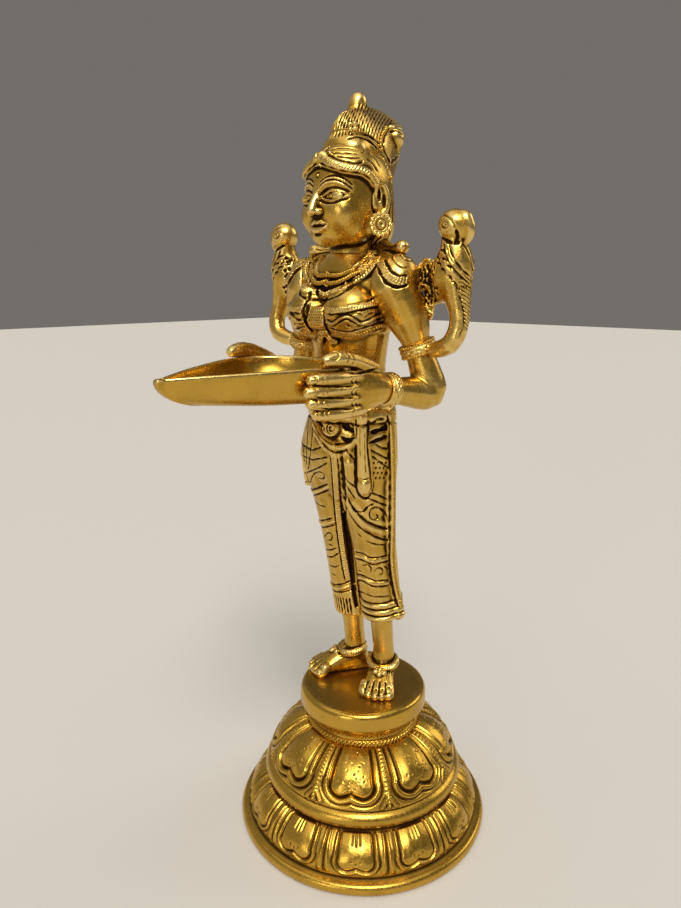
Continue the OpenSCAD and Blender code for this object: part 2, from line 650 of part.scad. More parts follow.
module head() color(brass) {
    hair = 1.2;
    brow_z = chin_z + head_h * 0.6;
    eye_z = chin_z + head_h * 0.5;
    nose_z = chin_z + head_h * 0.3;
    lip_z = chin_z + head_h * 0.19;
    face_y = head_y - head_b;
    difference() {
        union() {
            head_form();
            intersection() {
                head_form(hair);
                half_space([0, head_y - head_b, chin_z + head_h * 0.74], [0, 0.62, 0.78]);
            }
            skin(path_rings([
                [0, face_y + 1, brow_z, 1, 1.4],
                [0, face_y - 0.8, nose_z + 2.4, 1.9, 1.9],
                [0, face_y - 0.2, nose_z, 2.8, 1.9],
                [0, face_y + 2, nose_z - 1.2, 1.6, 1]], finger_sides, [0, 1, 0]));
            for (s = [-1, 1]) {
                pod([s * head_a * 0.42, face_y + 2.6, eye_z], head_a * 0.24, 1.7, 1.7);
                at_ear(s) rotate([0, s * 90, 0]) translate([0, 0, -ear_t]) cylinder(r = ear_r, h = 2 * ear_t);
            }
            skin(level_rings(smooth([
                [0, head_y + 9, neck_z + 1, neck_r - 1, 4.5],
                [0, head_y + 11, neck_z + 8, head_a - 4.2, 6],
                [0, head_y + 11, neck_z + 17, head_a - 3, 7],
                [0, head_y + 9, neck_z + 26, head_a - 4, 6]], 2), body_sides));
            pod([0, face_y + 2.4, lip_z + 1.2], 4, 1.5, 1);
            pod([0, face_y + 2.6, lip_z - 0.9], 3.2, 1.5, 1.1);
            translate([0, head_y + 1, neck_z - tenon_l]) cylinder(r = tenon_r, h = tenon_l + 1);
        }
        half_space(knot_seat, knot_dir);
        along(knot_seat, knot_dir) translate([0, 0, -peg_l - fit]) cylinder(r = peg_r + fit, h = peg_l + 2);
    }
}

// Crest of hair in the frame of its tilted seat, with a knob in front and a pear on each side behind
module topknot() color(brass) {
    b = knot_b;
    down = [0, sin(knot_tilt), -cos(knot_tilt)];
    translate(knot_seat) rotate([-knot_tilt, 0, 0]) {
        skin(level_rings(smooth([
            [0, b * -0.04, 0, knot_a, b],
            [0, b * -0.21, knot_h * 0.23, knot_a + 0.5, b * 0.93],
            [0, b * -0.185, knot_h * 0.48, knot_a * 0.86, b * 0.87],
            [0, b * -0.04, knot_h * 0.72, knot_a * 0.52, b * 0.7],
            [0, b * 0.12, knot_h * 0.87, knot_a * 0.32, b * 0.5],
            [0, b * 0.21, knot_h, knot_a * 0.15, b * 0.18]], 2), body_sides));
        for (side = [-1, 1]) {
            pear_p = [side * knot_a * 0.55, b * 0.11, knot_h * 0.65];
            translate(pear_p) sphere(pear_r);
            along(pear_p, down) cylinder(r1 = pear_r * 0.85, r2 = 1, h = 2.2 * pear_r);
        }
        translate([0, b * -0.955, knot_h * 0.665]) sphere(knob_r);
        translate([0, 0, -peg_l]) cylinder(r = peg_r, h = peg_l + 1);
    }
}

module left_earring() color(bright_brass) {
    at_ear(1) translate([ear_t, 0, -earring_r - 0.8]) rotate([0, 90, 0]) rotate_extrude() polygon(concat(
        [[0, 0]], bead_curve(earring_r, 0, earring_t, earring_t / 2),
        [[earring_r - earring_t / 2, earring_t * 0.6], [earring_r * 0.4, earring_t * 0.6],
        [earring_r * 0.36, earring_t], [0, earring_t]]));
}
module right_earring() mirror([1, 0, 0]) left_earring();

// Stations of her left arm from the shoulder through the armlet and the elbow to the wrist
flat = band_w / 2 + 0.4;
armlet_p = [armlet_x, armlet_y, armlet_z];
armlet_dir = unit([elbow_x - shoulder_a, elbow_y - chest_y, elbow_z - shoulder_z]);
wrist_p = [wrist_x, wrist_y, wrist_z];
wrist_dir = unit([wrist_x - elbow_x, -forearm_y, wrist_z - elbow_z]);
function at(p, dir, s, a, b) = concat(p + dir * s, [a, b]);
upper_arm_st = [
    [shoulder_a - 5, chest_y, shoulder_z - 3, shoulder_r - 2, shoulder_r - 2],
    [shoulder_a - 0.5, chest_y + 0.6, shoulder_z - 6, shoulder_r, shoulder_r],
    at(mix([shoulder_a, chest_y, shoulder_z], armlet_p, 0.62), armlet_dir, 0, shoulder_r - 1.6, shoulder_r - 1.6),
    at(armlet_p, armlet_dir, -flat, armlet_arm_r, armlet_arm_r),
    at(armlet_p, armlet_dir, 0, armlet_arm_r, armlet_arm_r)];
forearm_st = [
    at(armlet_p, armlet_dir, 0, armlet_arm_r, armlet_arm_r),
    at(armlet_p, armlet_dir, flat, armlet_arm_r, armlet_arm_r),
    [elbow_x - 0.4, elbow_y - 2.4, mix(armlet_z, elbow_z, 0.72), elbow_r, elbow_r],
    [elbow_x, elbow_y - 2, elbow_z + 1, elbow_r, elbow_r],
    at([elbow_x, elbow_y, elbow_z], wrist_dir, 7.5, elbow_r, elbow_r),
    at(wrist_p, wrist_dir, -flat, wrist_r, wrist_r),
    at(wrist_p, wrist_dir, 0, wrist_r, wrist_r)];

module upper_arm_form(grow = 0) {
    skin(path_rings(smooth(upper_arm_st, 2), limb_sides, [0, 1, 0], grow));
}

module left_upper_arm() color(brass) {
    difference() {
        upper_arm_form();
        torso_form(fit);
        bodice_form(fit);
        along(armlet_p, -armlet_dir) translate([0, 0, -1]) cylinder(r = peg_r + fit, h = peg_l + 1 + fit);
    }
}
module right_upper_arm() mirror([1, 0, 0]) left_upper_arm();

module left_forearm() color(brass) {
    skin(path_rings(smooth(forearm_st, 2), limb_sides, [1, 0, 0]));
    along(armlet_p, -armlet_dir) translate([0, 0, -1]) cylinder(r = peg_r, h = peg_l + 1);
    along(wrist_p, wrist_dir) translate([0, 0, -1]) cylinder(r = peg_r, h = peg_l + 1);
}
module right_forearm() mirror([1, 0, 0]) left_forearm();

// Round band slipped over an arm
module band(p, dir, arm_r) {
    along(p, dir) translate([0, 0, -band_w / 2]) rotate_extrude() polygon(concat(
        [[arm_r + fit, 0]], bead_curve(arm_r + fit + band_t, 0, band_w, band_t * 0.7), [[arm_r + fit, band_w]]));
}
module left_armlet() color(old_brass) band(armlet_p, armlet_dir, armlet_arm_r);
module right_armlet() mirror([1, 0, 0]) left_armlet();
module left_bangle() color(old_brass) band(wrist_p, wrist_dir, wrist_r);
module right_bangle() mirror([1, 0, 0]) left_bangle();

// Half width of the dish rim at a distance along its length from the widest point
function dish_half(y) = y < 0
    ? dish_a * (1 - pow(-y / spout_l, 1.4))
    : dish_a * sqrt(max(0, 1 - pow(y / stern_l, 2)));
// Closed plan outline of the dish, shrunk about its centre by s and grown by g
function dish_plan(s, g) =
    let (n = 11, m = 7, tip = 1.4,
        front = [for (i = [0 : n - 1]) let (y = -spout_l * (1 - pow(i / n, 1.5))) [max(tip, dish_half(y)), y]],
        back = [for (i = [0 : m]) let (a = 90 * i / m) [dish_a * cos(a), stern_l * sin(a)]],
        side = concat(front, back),
        loop = concat(side, [for (i = [len(side) - 2 : -1 : 0]) [-side[i][0], side[i][1]]]))
    [for (p = loop) let (q = [p[0], p[1] + widest_y] - dish_centre) dish_centre + q * (s + g / norm(q))];
dish_z = rim_top_z - dish_h;
dish_levels = 5;
// Shrink of the dish outline at a share of its depth, from the bottom up
function dish_taper(t) = 0.66 + 0.34 * sqrt(1 - pow(1 - t, 2));
// Level of the dish at a share t of its depth above a floor, grown by g, dipping towards the spout
function dish_ring(t, floor_z, g = 0) =
    [for (p = dish_plan(dish_taper(t), g)) let (ahead = max(0, widest_y - p[1]) / spout_l)
        [p[0], p[1], mix(floor_z, rim_top_z, t) - spout_dip * t * ahead * ahead]];
module dish_form(grow = 0) {
    skin([for (i = [0 : dish_levels]) dish_ring(i / dish_levels, dish_z - grow, grow)]);
}

module lamp_dish() color(bright_brass) {
    outer = [for (i = [0 : dish_levels]) dish_ring(i / dish_levels, dish_z)];
    inner = [for (i = [dish_levels : -1 : 0]) dish_ring(i / dish_levels, dish_z + dish_wall, -dish_wall)];
    skin(concat(outer, inner));
}

// Finger or thumb through its joints, a round tip at the far end
module finger(stations) {
    skin(path_rings(smooth(stations, 2), finger_sides, [0, 0, 1]));
}

module left_hand() color(brass) {
    r = finger_d / 2;
    thumb_r = r + 1;
    knuckle_y = wrist_y - hand_l * 0.42;
    tip_y = wrist_y - hand_l;
    wrap = dish_a - dish_half(tip_y - widest_y);
    top_z = rim_top_z - r - 1;
    difference() {
        union() {
            skin(path_rings(smooth([
                at(wrist_p, wrist_dir, 0, wrist_r, wrist_r),
                at(wrist_p, wrist_dir, 2.5, wrist_r, wrist_r),
                [hand_x + 0.4, mix(wrist_y, knuckle_y, 0.55), rim_top_z - 2 * finger_d, 4.4, 2 * finger_d - 1],
                [hand_x + 0.2, knuckle_y, rim_top_z - 2 * finger_d, r + 0.4, 2 * finger_d - 0.4],
                [hand_x - 0.4, knuckle_y - 3, rim_top_z - 2 * finger_d, r, 2 * finger_d - 1]], 2), limb_sides, [0, 0, 1]));
            for (i = [0 : 3]) {
                z = top_z - i * finger_d * 0.98;
                short = [1.5, 0, 1, 4][i];
                finger([
                    [hand_x, knuckle_y + 1.5, z, r, r],
                    [hand_x, mix(knuckle_y, tip_y, 0.45), z, r, r],
                    [hand_x - wrap * 0.6, tip_y + 2 + short, z, r * 0.95, r * 0.95],
                    [hand_x - wrap * 0.85, tip_y + short, z, r * 0.45, r * 0.45]]);
            }
            finger([
                [wrist_x - 0.5, wrist_y - 8, rim_top_z - 2, thumb_r, thumb_r],
                [hand_x - 0.6, knuckle_y - 2, rim_top_z + 2.6, thumb_r, thumb_r],
                [hand_x - 2, knuckle_y - 11, rim_top_z + 3.6, thumb_r, thumb_r],
                [hand_x - 3, knuckle_y - 16, rim_top_z + 2.6, thumb_r * 0.6, thumb_r * 0.6]]);
        }
        dish_form(fit);
        along(wrist_p, wrist_dir) translate([0, 0, -1]) cylinder(r = peg_r + fit, h = peg_l + 1 + fit);
    }
}
module right_hand() mirror([1, 0, 0]) left_hand();

module left_parrot() color(brass) {
    perch_x = armlet_x + armlet_arm_r + tail_out;
    head_p = [perch_x, armlet_y + 1, armlet_z + parrot_h];
    neck_p = head_p - [0, 0, parrot_head_r + 1];
    wing_p = neck_p + [0.6, 1, -6];
    rump_p = wing_p + [0.2, 0, -8];
    web_z = 0.5 * (wing_p[2] + rump_p[2]);
    web_t = 2.2;
    difference() {
        union() {
            translate(head_p) sphere(parrot_head_r);
            skin(path_rings(smooth([
                at(head_p, [0, 0, -1], 1, parrot_head_r * 0.7, parrot_head_r * 0.7),
                at(neck_p, [0, 0, -1], 0, parrot_body_r - 2.4, parrot_body_r - 2.4),
                at(wing_p, [0, 0, -1], 0, parrot_body_r - 1, parrot_body_r),
                at(rump_p, [0, 0, -1], 0, parrot_body_r - 1.6, parrot_body_r - 0.6),
                [perch_x + 3.6, rump_p[1] - 1, mix(armlet_z, rump_p[2], 0.58), tail_r + 0.2, tail_r + 0.8],
                [perch_x + 4.4, rump_p[1] - 3, mix(armlet_z, rump_p[2], 0.32), tail_r, tail_r],
                [perch_x + 1.6, rump_p[1] - 4, armlet_z + 2.4, tail_r, tail_r],
                [mix(armlet_x, perch_x, 0.6), rump_p[1] - 3, armlet_z, tail_r - 0.6, tail_r - 0.6],
                [armlet_x + 2, armlet_y, armlet_z, tail_r - 1.4, tail_r - 1.4]], 2), 12, [0, 1, 0]));
            skin(path_rings([
                [perch_x, wing_p[1] + 1, web_z - 1.5, 3, 8],
                [armlet_x + armlet_arm_r, armlet_y + 2, web_z - 5, web_t, 7.5],
                [armlet_x - armlet_arm_r, armlet_y, web_z - 6, web_t, 7]], finger_sides, [0, 0, 1]));
            translate(head_p + [0, -parrot_head_r * 0.7, -parrot_head_r * 0.2]) rotate([60, 0, 0])
                cylinder(r1 = parrot_head_r * 0.5, r2 = 0.4, h = parrot_head_r * 0.9);
        }
        upper_arm_form(fit);
        along(armlet_p, armlet_dir) translate([0, 0, -band_w * 2])
            cylinder(r = armlet_arm_r + 2 * fit + band_t, h = band_w * 4);
    }
}
module right_parrot() mirror([1, 0, 0]) left_parrot();

foot_tier();
upper_tier();
rope_collar();
standing_pad();
foot_studs();
stud_washers();
stud_nuts();
draped_legs();
torso();
head();
topknot();
left_earring();
right_earring();
left_upper_arm();
right_upper_arm();
left_forearm();
right_forearm();
left_hand();
right_hand();
left_armlet();
right_armlet();
left_bangle();
right_bangle();
left_parrot();
right_parrot();
lamp_dish();
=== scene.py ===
"""Cast brass lamp lady on a lotus pedestal: the looks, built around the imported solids."""

import math

import bmesh
import bpy
import numpy as np
import openvdb as vdb
from mathutils import Matrix


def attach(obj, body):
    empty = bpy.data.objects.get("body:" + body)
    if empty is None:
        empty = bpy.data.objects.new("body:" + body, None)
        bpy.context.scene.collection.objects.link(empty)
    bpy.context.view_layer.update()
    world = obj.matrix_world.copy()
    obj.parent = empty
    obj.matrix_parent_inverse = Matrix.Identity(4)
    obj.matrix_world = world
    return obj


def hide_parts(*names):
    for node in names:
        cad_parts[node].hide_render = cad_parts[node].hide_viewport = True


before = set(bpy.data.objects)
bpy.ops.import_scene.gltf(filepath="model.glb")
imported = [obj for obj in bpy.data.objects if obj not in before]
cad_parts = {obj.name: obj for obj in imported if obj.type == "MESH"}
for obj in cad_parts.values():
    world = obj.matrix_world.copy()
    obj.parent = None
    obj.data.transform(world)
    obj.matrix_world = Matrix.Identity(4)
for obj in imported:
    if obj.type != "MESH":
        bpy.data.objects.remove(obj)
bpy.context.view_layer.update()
MM = 0.001
LEFT, BACK, UP = np.eye(3)

# Sizes of the lamp in millimetres, the same as in the solids
RIM_R, LOWER_R, LOWER_TOP_R, BEAD_R = 60.0, 55.6, 46.0, 47.6
UPPER_R, LIP_R, PAD_R = 45.0, 41.0, 30.0
LOWER_Z, BEAD_Z, UPPER_Z, PLATE_Z, SOLE_Z = 6.4, 20.8, 30.4, 57.4, 67.5
TIER_BULGE, WALL, PLATE_T, LIP_H = 2.4, 3.2, 4.0, 3.0
DISH_A, SPOUT_L, STERN_L, WIDEST_Y = 27.0, 59.0, 20.0, -46.5
RIM_TOP_Z, DISH_Z, DISH_WALL, SPOUT_DIP = 224.6, 211.6, 2.0, 1.6
DISH_MIDDLE = np.array([0, -58.2, 216])

# What the picture shows and the solids do not: low swelling shoulder, rope on it, necked pad, rising spout
SHOULDER_R, SHOULDER_Z, SHOULDER_BULGE, CORE_R, HOLLOW_R = 26.8, 48.6, 3.4, 24.2, 22.4
ROPE_R, ROPE_Z, ROPE_H, NECK_Z, SPOUT_RISE = 25.9, 50.1, 3.6, 51.4, 3.2

# Where the camera stands, in millimetres, which way it looks, the right and the top of its picture,
# and in steps of the picture its focal length and its middle
EYE = np.array((202.24, -234.58, 254.54))
AHEAD = np.array((-0.66036861, 0.71376089, -0.23336385))
RIGHT = np.array((0.73402777, 0.67911945, 0.0))
ABOVE = np.cross(RIGHT, AHEAD)
FOCAL, MID_X, MID_Y = 710, 340.5, 454

# How far a hollow's depth, near and far, darkens the brass with painted shade, and how pale its edges get
NEAR_BLUR, NEAR_DEPTH, FAR_BLUR, FAR_DEPTH, EDGE_SHARE = 0.45, 0.16, 1.3, 0.55, 0.8
# Depth of a relief's full dip, the painted shade in its dips, and the painted shade in the corners where a tier's wall
# meets its rims
RELIEF_DEPTH, RELIEF_SHADE, SEAM_SHADE = 0.35, 0.66, 0.9


def brass(name, gold, shade_and_patina, glow, roughness, grain, bump):
    """Brass with painted shade and patina in its recesses, pale on its rubbed edges and a little uneven all over."""
    mat = bpy.data.materials.new(name)
    mat.use_nodes = True
    nodes, links = mat.node_tree.nodes, mat.node_tree.links
    shader = nodes["Principled BSDF"]
    place = nodes.new("ShaderNodeTexCoord").outputs["Object"]

    def feed(socket, value):
        if isinstance(value, bpy.types.NodeSocket):
            links.new(value, socket)
        else:
            socket.default_value = (*value, 1.0) if isinstance(value, tuple) else value

    def noise(scale, detail, rough=0.55):
        n = nodes.new("ShaderNodeTexNoise")
        for key, value in (("Vector", place), ("Scale", scale), ("Detail", detail), ("Roughness", rough)):
            feed(n.inputs[key], value)
        return n.outputs["Fac"]

    def spread(value, lo, hi, out_lo=0.0, out_hi=1.0):
        m = nodes.new("ShaderNodeMapRange")
        m.interpolation_type = "SMOOTHSTEP"
        for key, number in zip(("Value", "From Min", "From Max", "To Min", "To Max"), (value, lo, hi, out_lo, out_hi)):
            feed(m.inputs[key], number)
        return m.outputs["Result"]

    def sums(kind, a, b):
        m = nodes.new("ShaderNodeMath")
        m.operation = kind
        m.use_clamp = True
        for socket, value in zip(m.inputs, (a, b)):
            feed(socket, value)
        return m.outputs["Value"]

    def mixed(share, a, b):
        m = nodes.new("ShaderNodeMix")
        m.data_type = "RGBA"
        feed(m.inputs["Factor"], share)
        for key, value in (("A", a), ("B", b)):
            feed(next(s for s in m.inputs if s.name == key and s.type == "RGBA"), value)
        return next(s for s in m.outputs if s.type == "RGBA")

    def carried(attribute):
        a = nodes.new("ShaderNodeAttribute")
        a.attribute_name = attribute
        return a.outputs["Fac"]

    recess, edge = carried("recess"), carried("edge")
    cloud, fleck = noise(85.0, 3.0), noise(620.0, 3.0, 0.7)
    tarnish = spread(cloud, 0.5, 0.72, 0.0, 0.15)
    # The recess share paints shade into the hollows; with the tarnish flecks it darkens the colour towards the dark
    # colour of the painted shade and patina
    dark = sums("ADD", spread(recess, 0.06, 0.75), sums("MULTIPLY", tarnish, spread(fleck, 0.42, 0.66)))
    warm = mixed(spread(cloud, 0.3, 0.7), gold, tuple(0.86 * c for c in gold))
    rubbed = mixed(spread(edge, 0.05, 0.9, 0.0, 0.75), warm, glow)
    worn = spread(fleck, 0.3, 0.7, roughness - 0.05, roughness + 0.07)
    pores, waves = sums("MULTIPLY", noise(grain, 4.0, 0.62), 0.7), sums("MULTIPLY", noise(230.0, 2.0), 0.5)
    dent = nodes.new("ShaderNodeBump")
    for node, key, value in ((dent, "Strength", bump), (dent, "Distance", 0.0004),
                             (dent, "Height", sums("ADD", pores, waves)), (shader, "Metallic", 1.0),
                             (shader, "Base Color", mixed(dark, rubbed, shade_and_patina)),
                             (shader, "Roughness", sums("ADD", worn, sums("MULTIPLY", dark, 0.28))),
                             (shader, "Normal", dent.outputs["Normal"])):
        feed(node.inputs[key], value)
    return mat


# Each finish: the brass, the dark colour of the painted shade and patina in its hollows, its rubbed edges, roughness,
# fineness and depth of the grain
FINISH = {name: brass(name, *look) for name, *look in (
    ("cast_brass", (0.62, 0.372, 0.058), (0.04, 0.018, 0.003), (0.90, 0.66, 0.24), 0.265, 1500.0, 0.24),
    ("polished_brass", (0.63, 0.385, 0.062), (0.055, 0.026, 0.004), (0.90, 0.67, 0.25), 0.23, 1100.0, 0.16),
    ("dark_brass", (0.57, 0.34, 0.05), (0.035, 0.016, 0.003), (0.88, 0.64, 0.22), 0.28, 1700.0, 0.34),
    ("plain_brass", (0.62, 0.43, 0.14), (0.07, 0.04, 0.01), (0.8, 0.6, 0.26), 0.34, 900.0, 0.2))}


def skin_mesh(name, points, faces):
    """Smooth mesh from points in millimetres and a list of face arrays."""
    mesh = bpy.data.meshes.new(name)
    mesh.vertices.add(len(points))
    mesh.vertices.foreach_set("co", (np.asarray(points) * MM).astype(np.float32).ravel())
    corners = np.concatenate([np.asarray(f, np.int32).ravel() for f in faces])
    sizes = np.concatenate([np.full(len(f), np.asarray(f).shape[1]) for f in faces])
    mesh.loops.add(len(corners))
    mesh.loops.foreach_set("vertex_index", corners)
    mesh.polygons.add(len(sizes))
    mesh.polygons.foreach_set("loop_start", np.concatenate([[0], np.cumsum(sizes)[:-1]]).astype(np.int32))
    mesh.update(calc_edges=True)
    mesh.validate()
    mesh.shade_smooth()
    return mesh


def mesh_points(mesh):
    """Places of a mesh's points, in millimetres."""
    v = np.empty(len(mesh.vertices) * 3, np.float32)
    mesh.vertices.foreach_get("co", v)
    return v.reshape(-1, 3) / MM


def paint(mesh, **shares):
    """Writes a share from nought to one on each point, for the finish to read."""
    for name, values in shares.items():
        layer = mesh.attributes.new(name, "FLOAT", "POINT")
        layer.data.foreach_set("value", np.clip(values, 0, 1).astype(np.float32))


def put(name, data):
    """New object in the scene."""
    thing = bpy.data.objects.new(name, data)
    bpy.context.scene.collection.objects.link(thing)
    return thing


def made_plain(carrier, name):
    """Plain mesh of what an object's modifier makes; the object goes."""
    mesh = bpy.data.meshes.new_from_object(carrier.evaluated_get(bpy.context.evaluated_depsgraph_get()))
    bpy.data.objects.remove(carrier)
    mesh.name = name
    return mesh


def placing(axes, at):
    """Matrix that lays x, y and z along three axes at a place in metres."""
    turn = Matrix([[*row] for row in np.stack(axes, 1)]).to_4x4()
    turn.translation = at
    return turn


def set_piece(name, mesh, slot, *stands_for):
    """Puts a finished mesh in the scene as a piece of the lamp."""
    piece = put(name, mesh)
    mesh.materials.clear()
    mesh.materials.append(FINISH[slot])
    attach(piece, "root")
    if stands_for:
        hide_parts(*stands_for)


def mirrored(mesh, name):
    """The same mesh for her other side, faces still pointing out."""
    twin = mesh.copy()
    twin.name = name
    twin.transform(Matrix.Scale(-1, 4, (1, 0, 0)))
    twin.flip_normals()
    return twin


def grid_faces(rows, columns, wrap_rows=False):
    """Four-sided faces of a net of rows and columns that closes round its columns."""
    r = np.arange(rows if wrap_rows else rows - 1)[:, None]
    c = np.arange(columns)[None, :]
    up, on = (r + 1) % rows, (c + 1) % columns
    return np.stack([r * columns + c, r * columns + on, up * columns + on, up * columns + c], -1).reshape(-1, 4)


def end_faces(rows, columns):
    """Three-sided faces from the first and the last row of a net to two points listed after it."""
    c = np.arange(columns)
    on, first, top = (c + 1) % columns, rows * columns, (rows - 1) * columns
    return [np.stack([np.full(columns, first), on, c], 1),
            np.stack([np.full(columns, first + 1), top + c, top + on], 1)]


def blur_wrap(a, rows, columns):
    """Running mean over rows and, round the turn, over columns."""
    out = a
    for axis, half, mode in ((0, rows, "edge"), (1, columns, "wrap")):
        pad = [(0, 0), (0, 0)]
        pad[axis] = (half + 1, half)
        s = np.cumsum(np.pad(out, pad, mode=mode), axis)
        n = 2 * half + 1
        out = (np.take(s, range(n, s.shape[axis]), axis) - np.take(s, range(0, s.shape[axis] - n), axis)) / n
    return out


def lathe(name, profile, columns, relief=None, row_darkening=None):
    """Turned piece. The profile is a list of (radius, height) round the section; relief lifts its points, and its dips
    get painted shade. Given rows are darkened as well.
    """
    profile = np.array(profile, float)
    closed = profile[0, 0] > 0
    ring = profile if closed else profile[1:-1]
    rows = len(ring)
    ahead, behind = np.roll(ring, -1, 0), np.roll(ring, 1, 0)
    if not closed:
        ahead[-1], behind[0] = profile[-1], profile[0]
    slope = ahead - behind
    out = unit(np.stack([slope[:, 1], -slope[:, 0]], 1))
    turn = 2 * np.pi * np.arange(columns) / columns
    lift = np.zeros((rows, columns)) if relief is None else relief
    r = ring[:, :1] + out[:, :1] * lift
    z = np.maximum(ring[:, 1:] + out[:, 1:] * lift, 0)
    points = np.stack([r * np.sin(turn), -r * np.cos(turn), z], -1).reshape(-1, 3)
    faces = [grid_faces(rows, columns, closed)]
    # Painted shade in the dips of the relief, and pale rubbed edges on its rises; the given rows are darkened on top of
    # it
    hollow = np.clip((blur_wrap(lift, 4, 4) - lift) / RELIEF_DEPTH, -1, 1)
    hollow = np.where(hollow > 0, RELIEF_SHADE * hollow, hollow)
    hollow = hollow if row_darkening is None else np.maximum(hollow, row_darkening[:, None] * np.ones(columns))
    recess, edge = np.clip(hollow, 0, 1).ravel(), np.clip(-hollow, 0, 1).ravel()
    if not closed:
        points = np.vstack([points, [0, 0, profile[0, 1]], [0, 0, profile[-1, 1]]])
        faces += end_faces(rows, columns)
        recess, edge = np.append(recess, [recess[0], recess[-1]]), np.append(edge, [0, 0])
    mesh = skin_mesh(name, points, faces)
    paint(mesh, recess=recess, edge=edge)
    return mesh


def unit(v):
    """Rows of vectors brought to length one."""
    return v / (np.linalg.norm(v, axis=1)[:, None] + 1e-9)


def outward(turns):
    """Level directions at some turns from the front towards her left."""
    return np.stack([np.sin(turns), -np.cos(turns), 0 * turns], 1)


def distances(path):
    """Way from the start of a path to each of its points."""
    return np.concatenate([[0], np.cumsum(np.linalg.norm(np.diff(path, axis=0), axis=1))])


def resample(path, gap):
    """Points at even spacing along a path."""
    path = np.asarray(path, float)
    run = distances(path)
    at = np.linspace(0, run[-1], max(2, int(round(run[-1] / gap)) + 1))
    return np.stack([np.interp(at, run, path[:, k]) for k in range(path.shape[1])], 1)


def flowing(points, gap=0.5):
    """Smooth curve through guide points, resampled."""
    p = np.asarray(points, float)
    p = np.vstack([2 * p[0] - p[1], p, 2 * p[-1] - p[-2]])
    t = np.linspace(0, 1, 12, endpoint=False)[:, None]
    parts = [0.5 * (2 * b + (c - a) * t + (2 * a - 5 * b + 4 * c - d) * t ** 2 + (3 * b - a - 3 * c + d) * t ** 3)
             for a, b, c, d in zip(p[:-3], p[1:-2], p[2:-1], p[3:])]
    return resample(np.vstack(parts + [p[-2:-1]]), gap)


def tapered(path, shares, radii):
    """Radius at each point of a path, from radii at shares of its count of points."""
    return np.interp(np.linspace(0, 1, len(path)), shares, radii)


def both_sides(path):
    """A path and its mirror image on her other side."""
    return [path, path * [-1, 1, 1]]


def egg(centre, radii, turn=None):
    """Form of an egg with three half sizes, turned by a matrix: its distance, near enough, at a place."""
    def form(x, y, z):
        local = [c - m for c, m in zip((x, y, z), centre)]
        if turn is not None:
            local = [sum(c * turn[i, k] for i, c in enumerate(local)) for k in range(3)]
        near = np.sqrt(sum((c / r) ** 2 for c, r in zip(local, radii)))
        steep = np.sqrt(sum((c / r ** 2) ** 2 for c, r in zip(local, radii)))
        return near * (near - 1) / (steep + 1e-6)
    return form


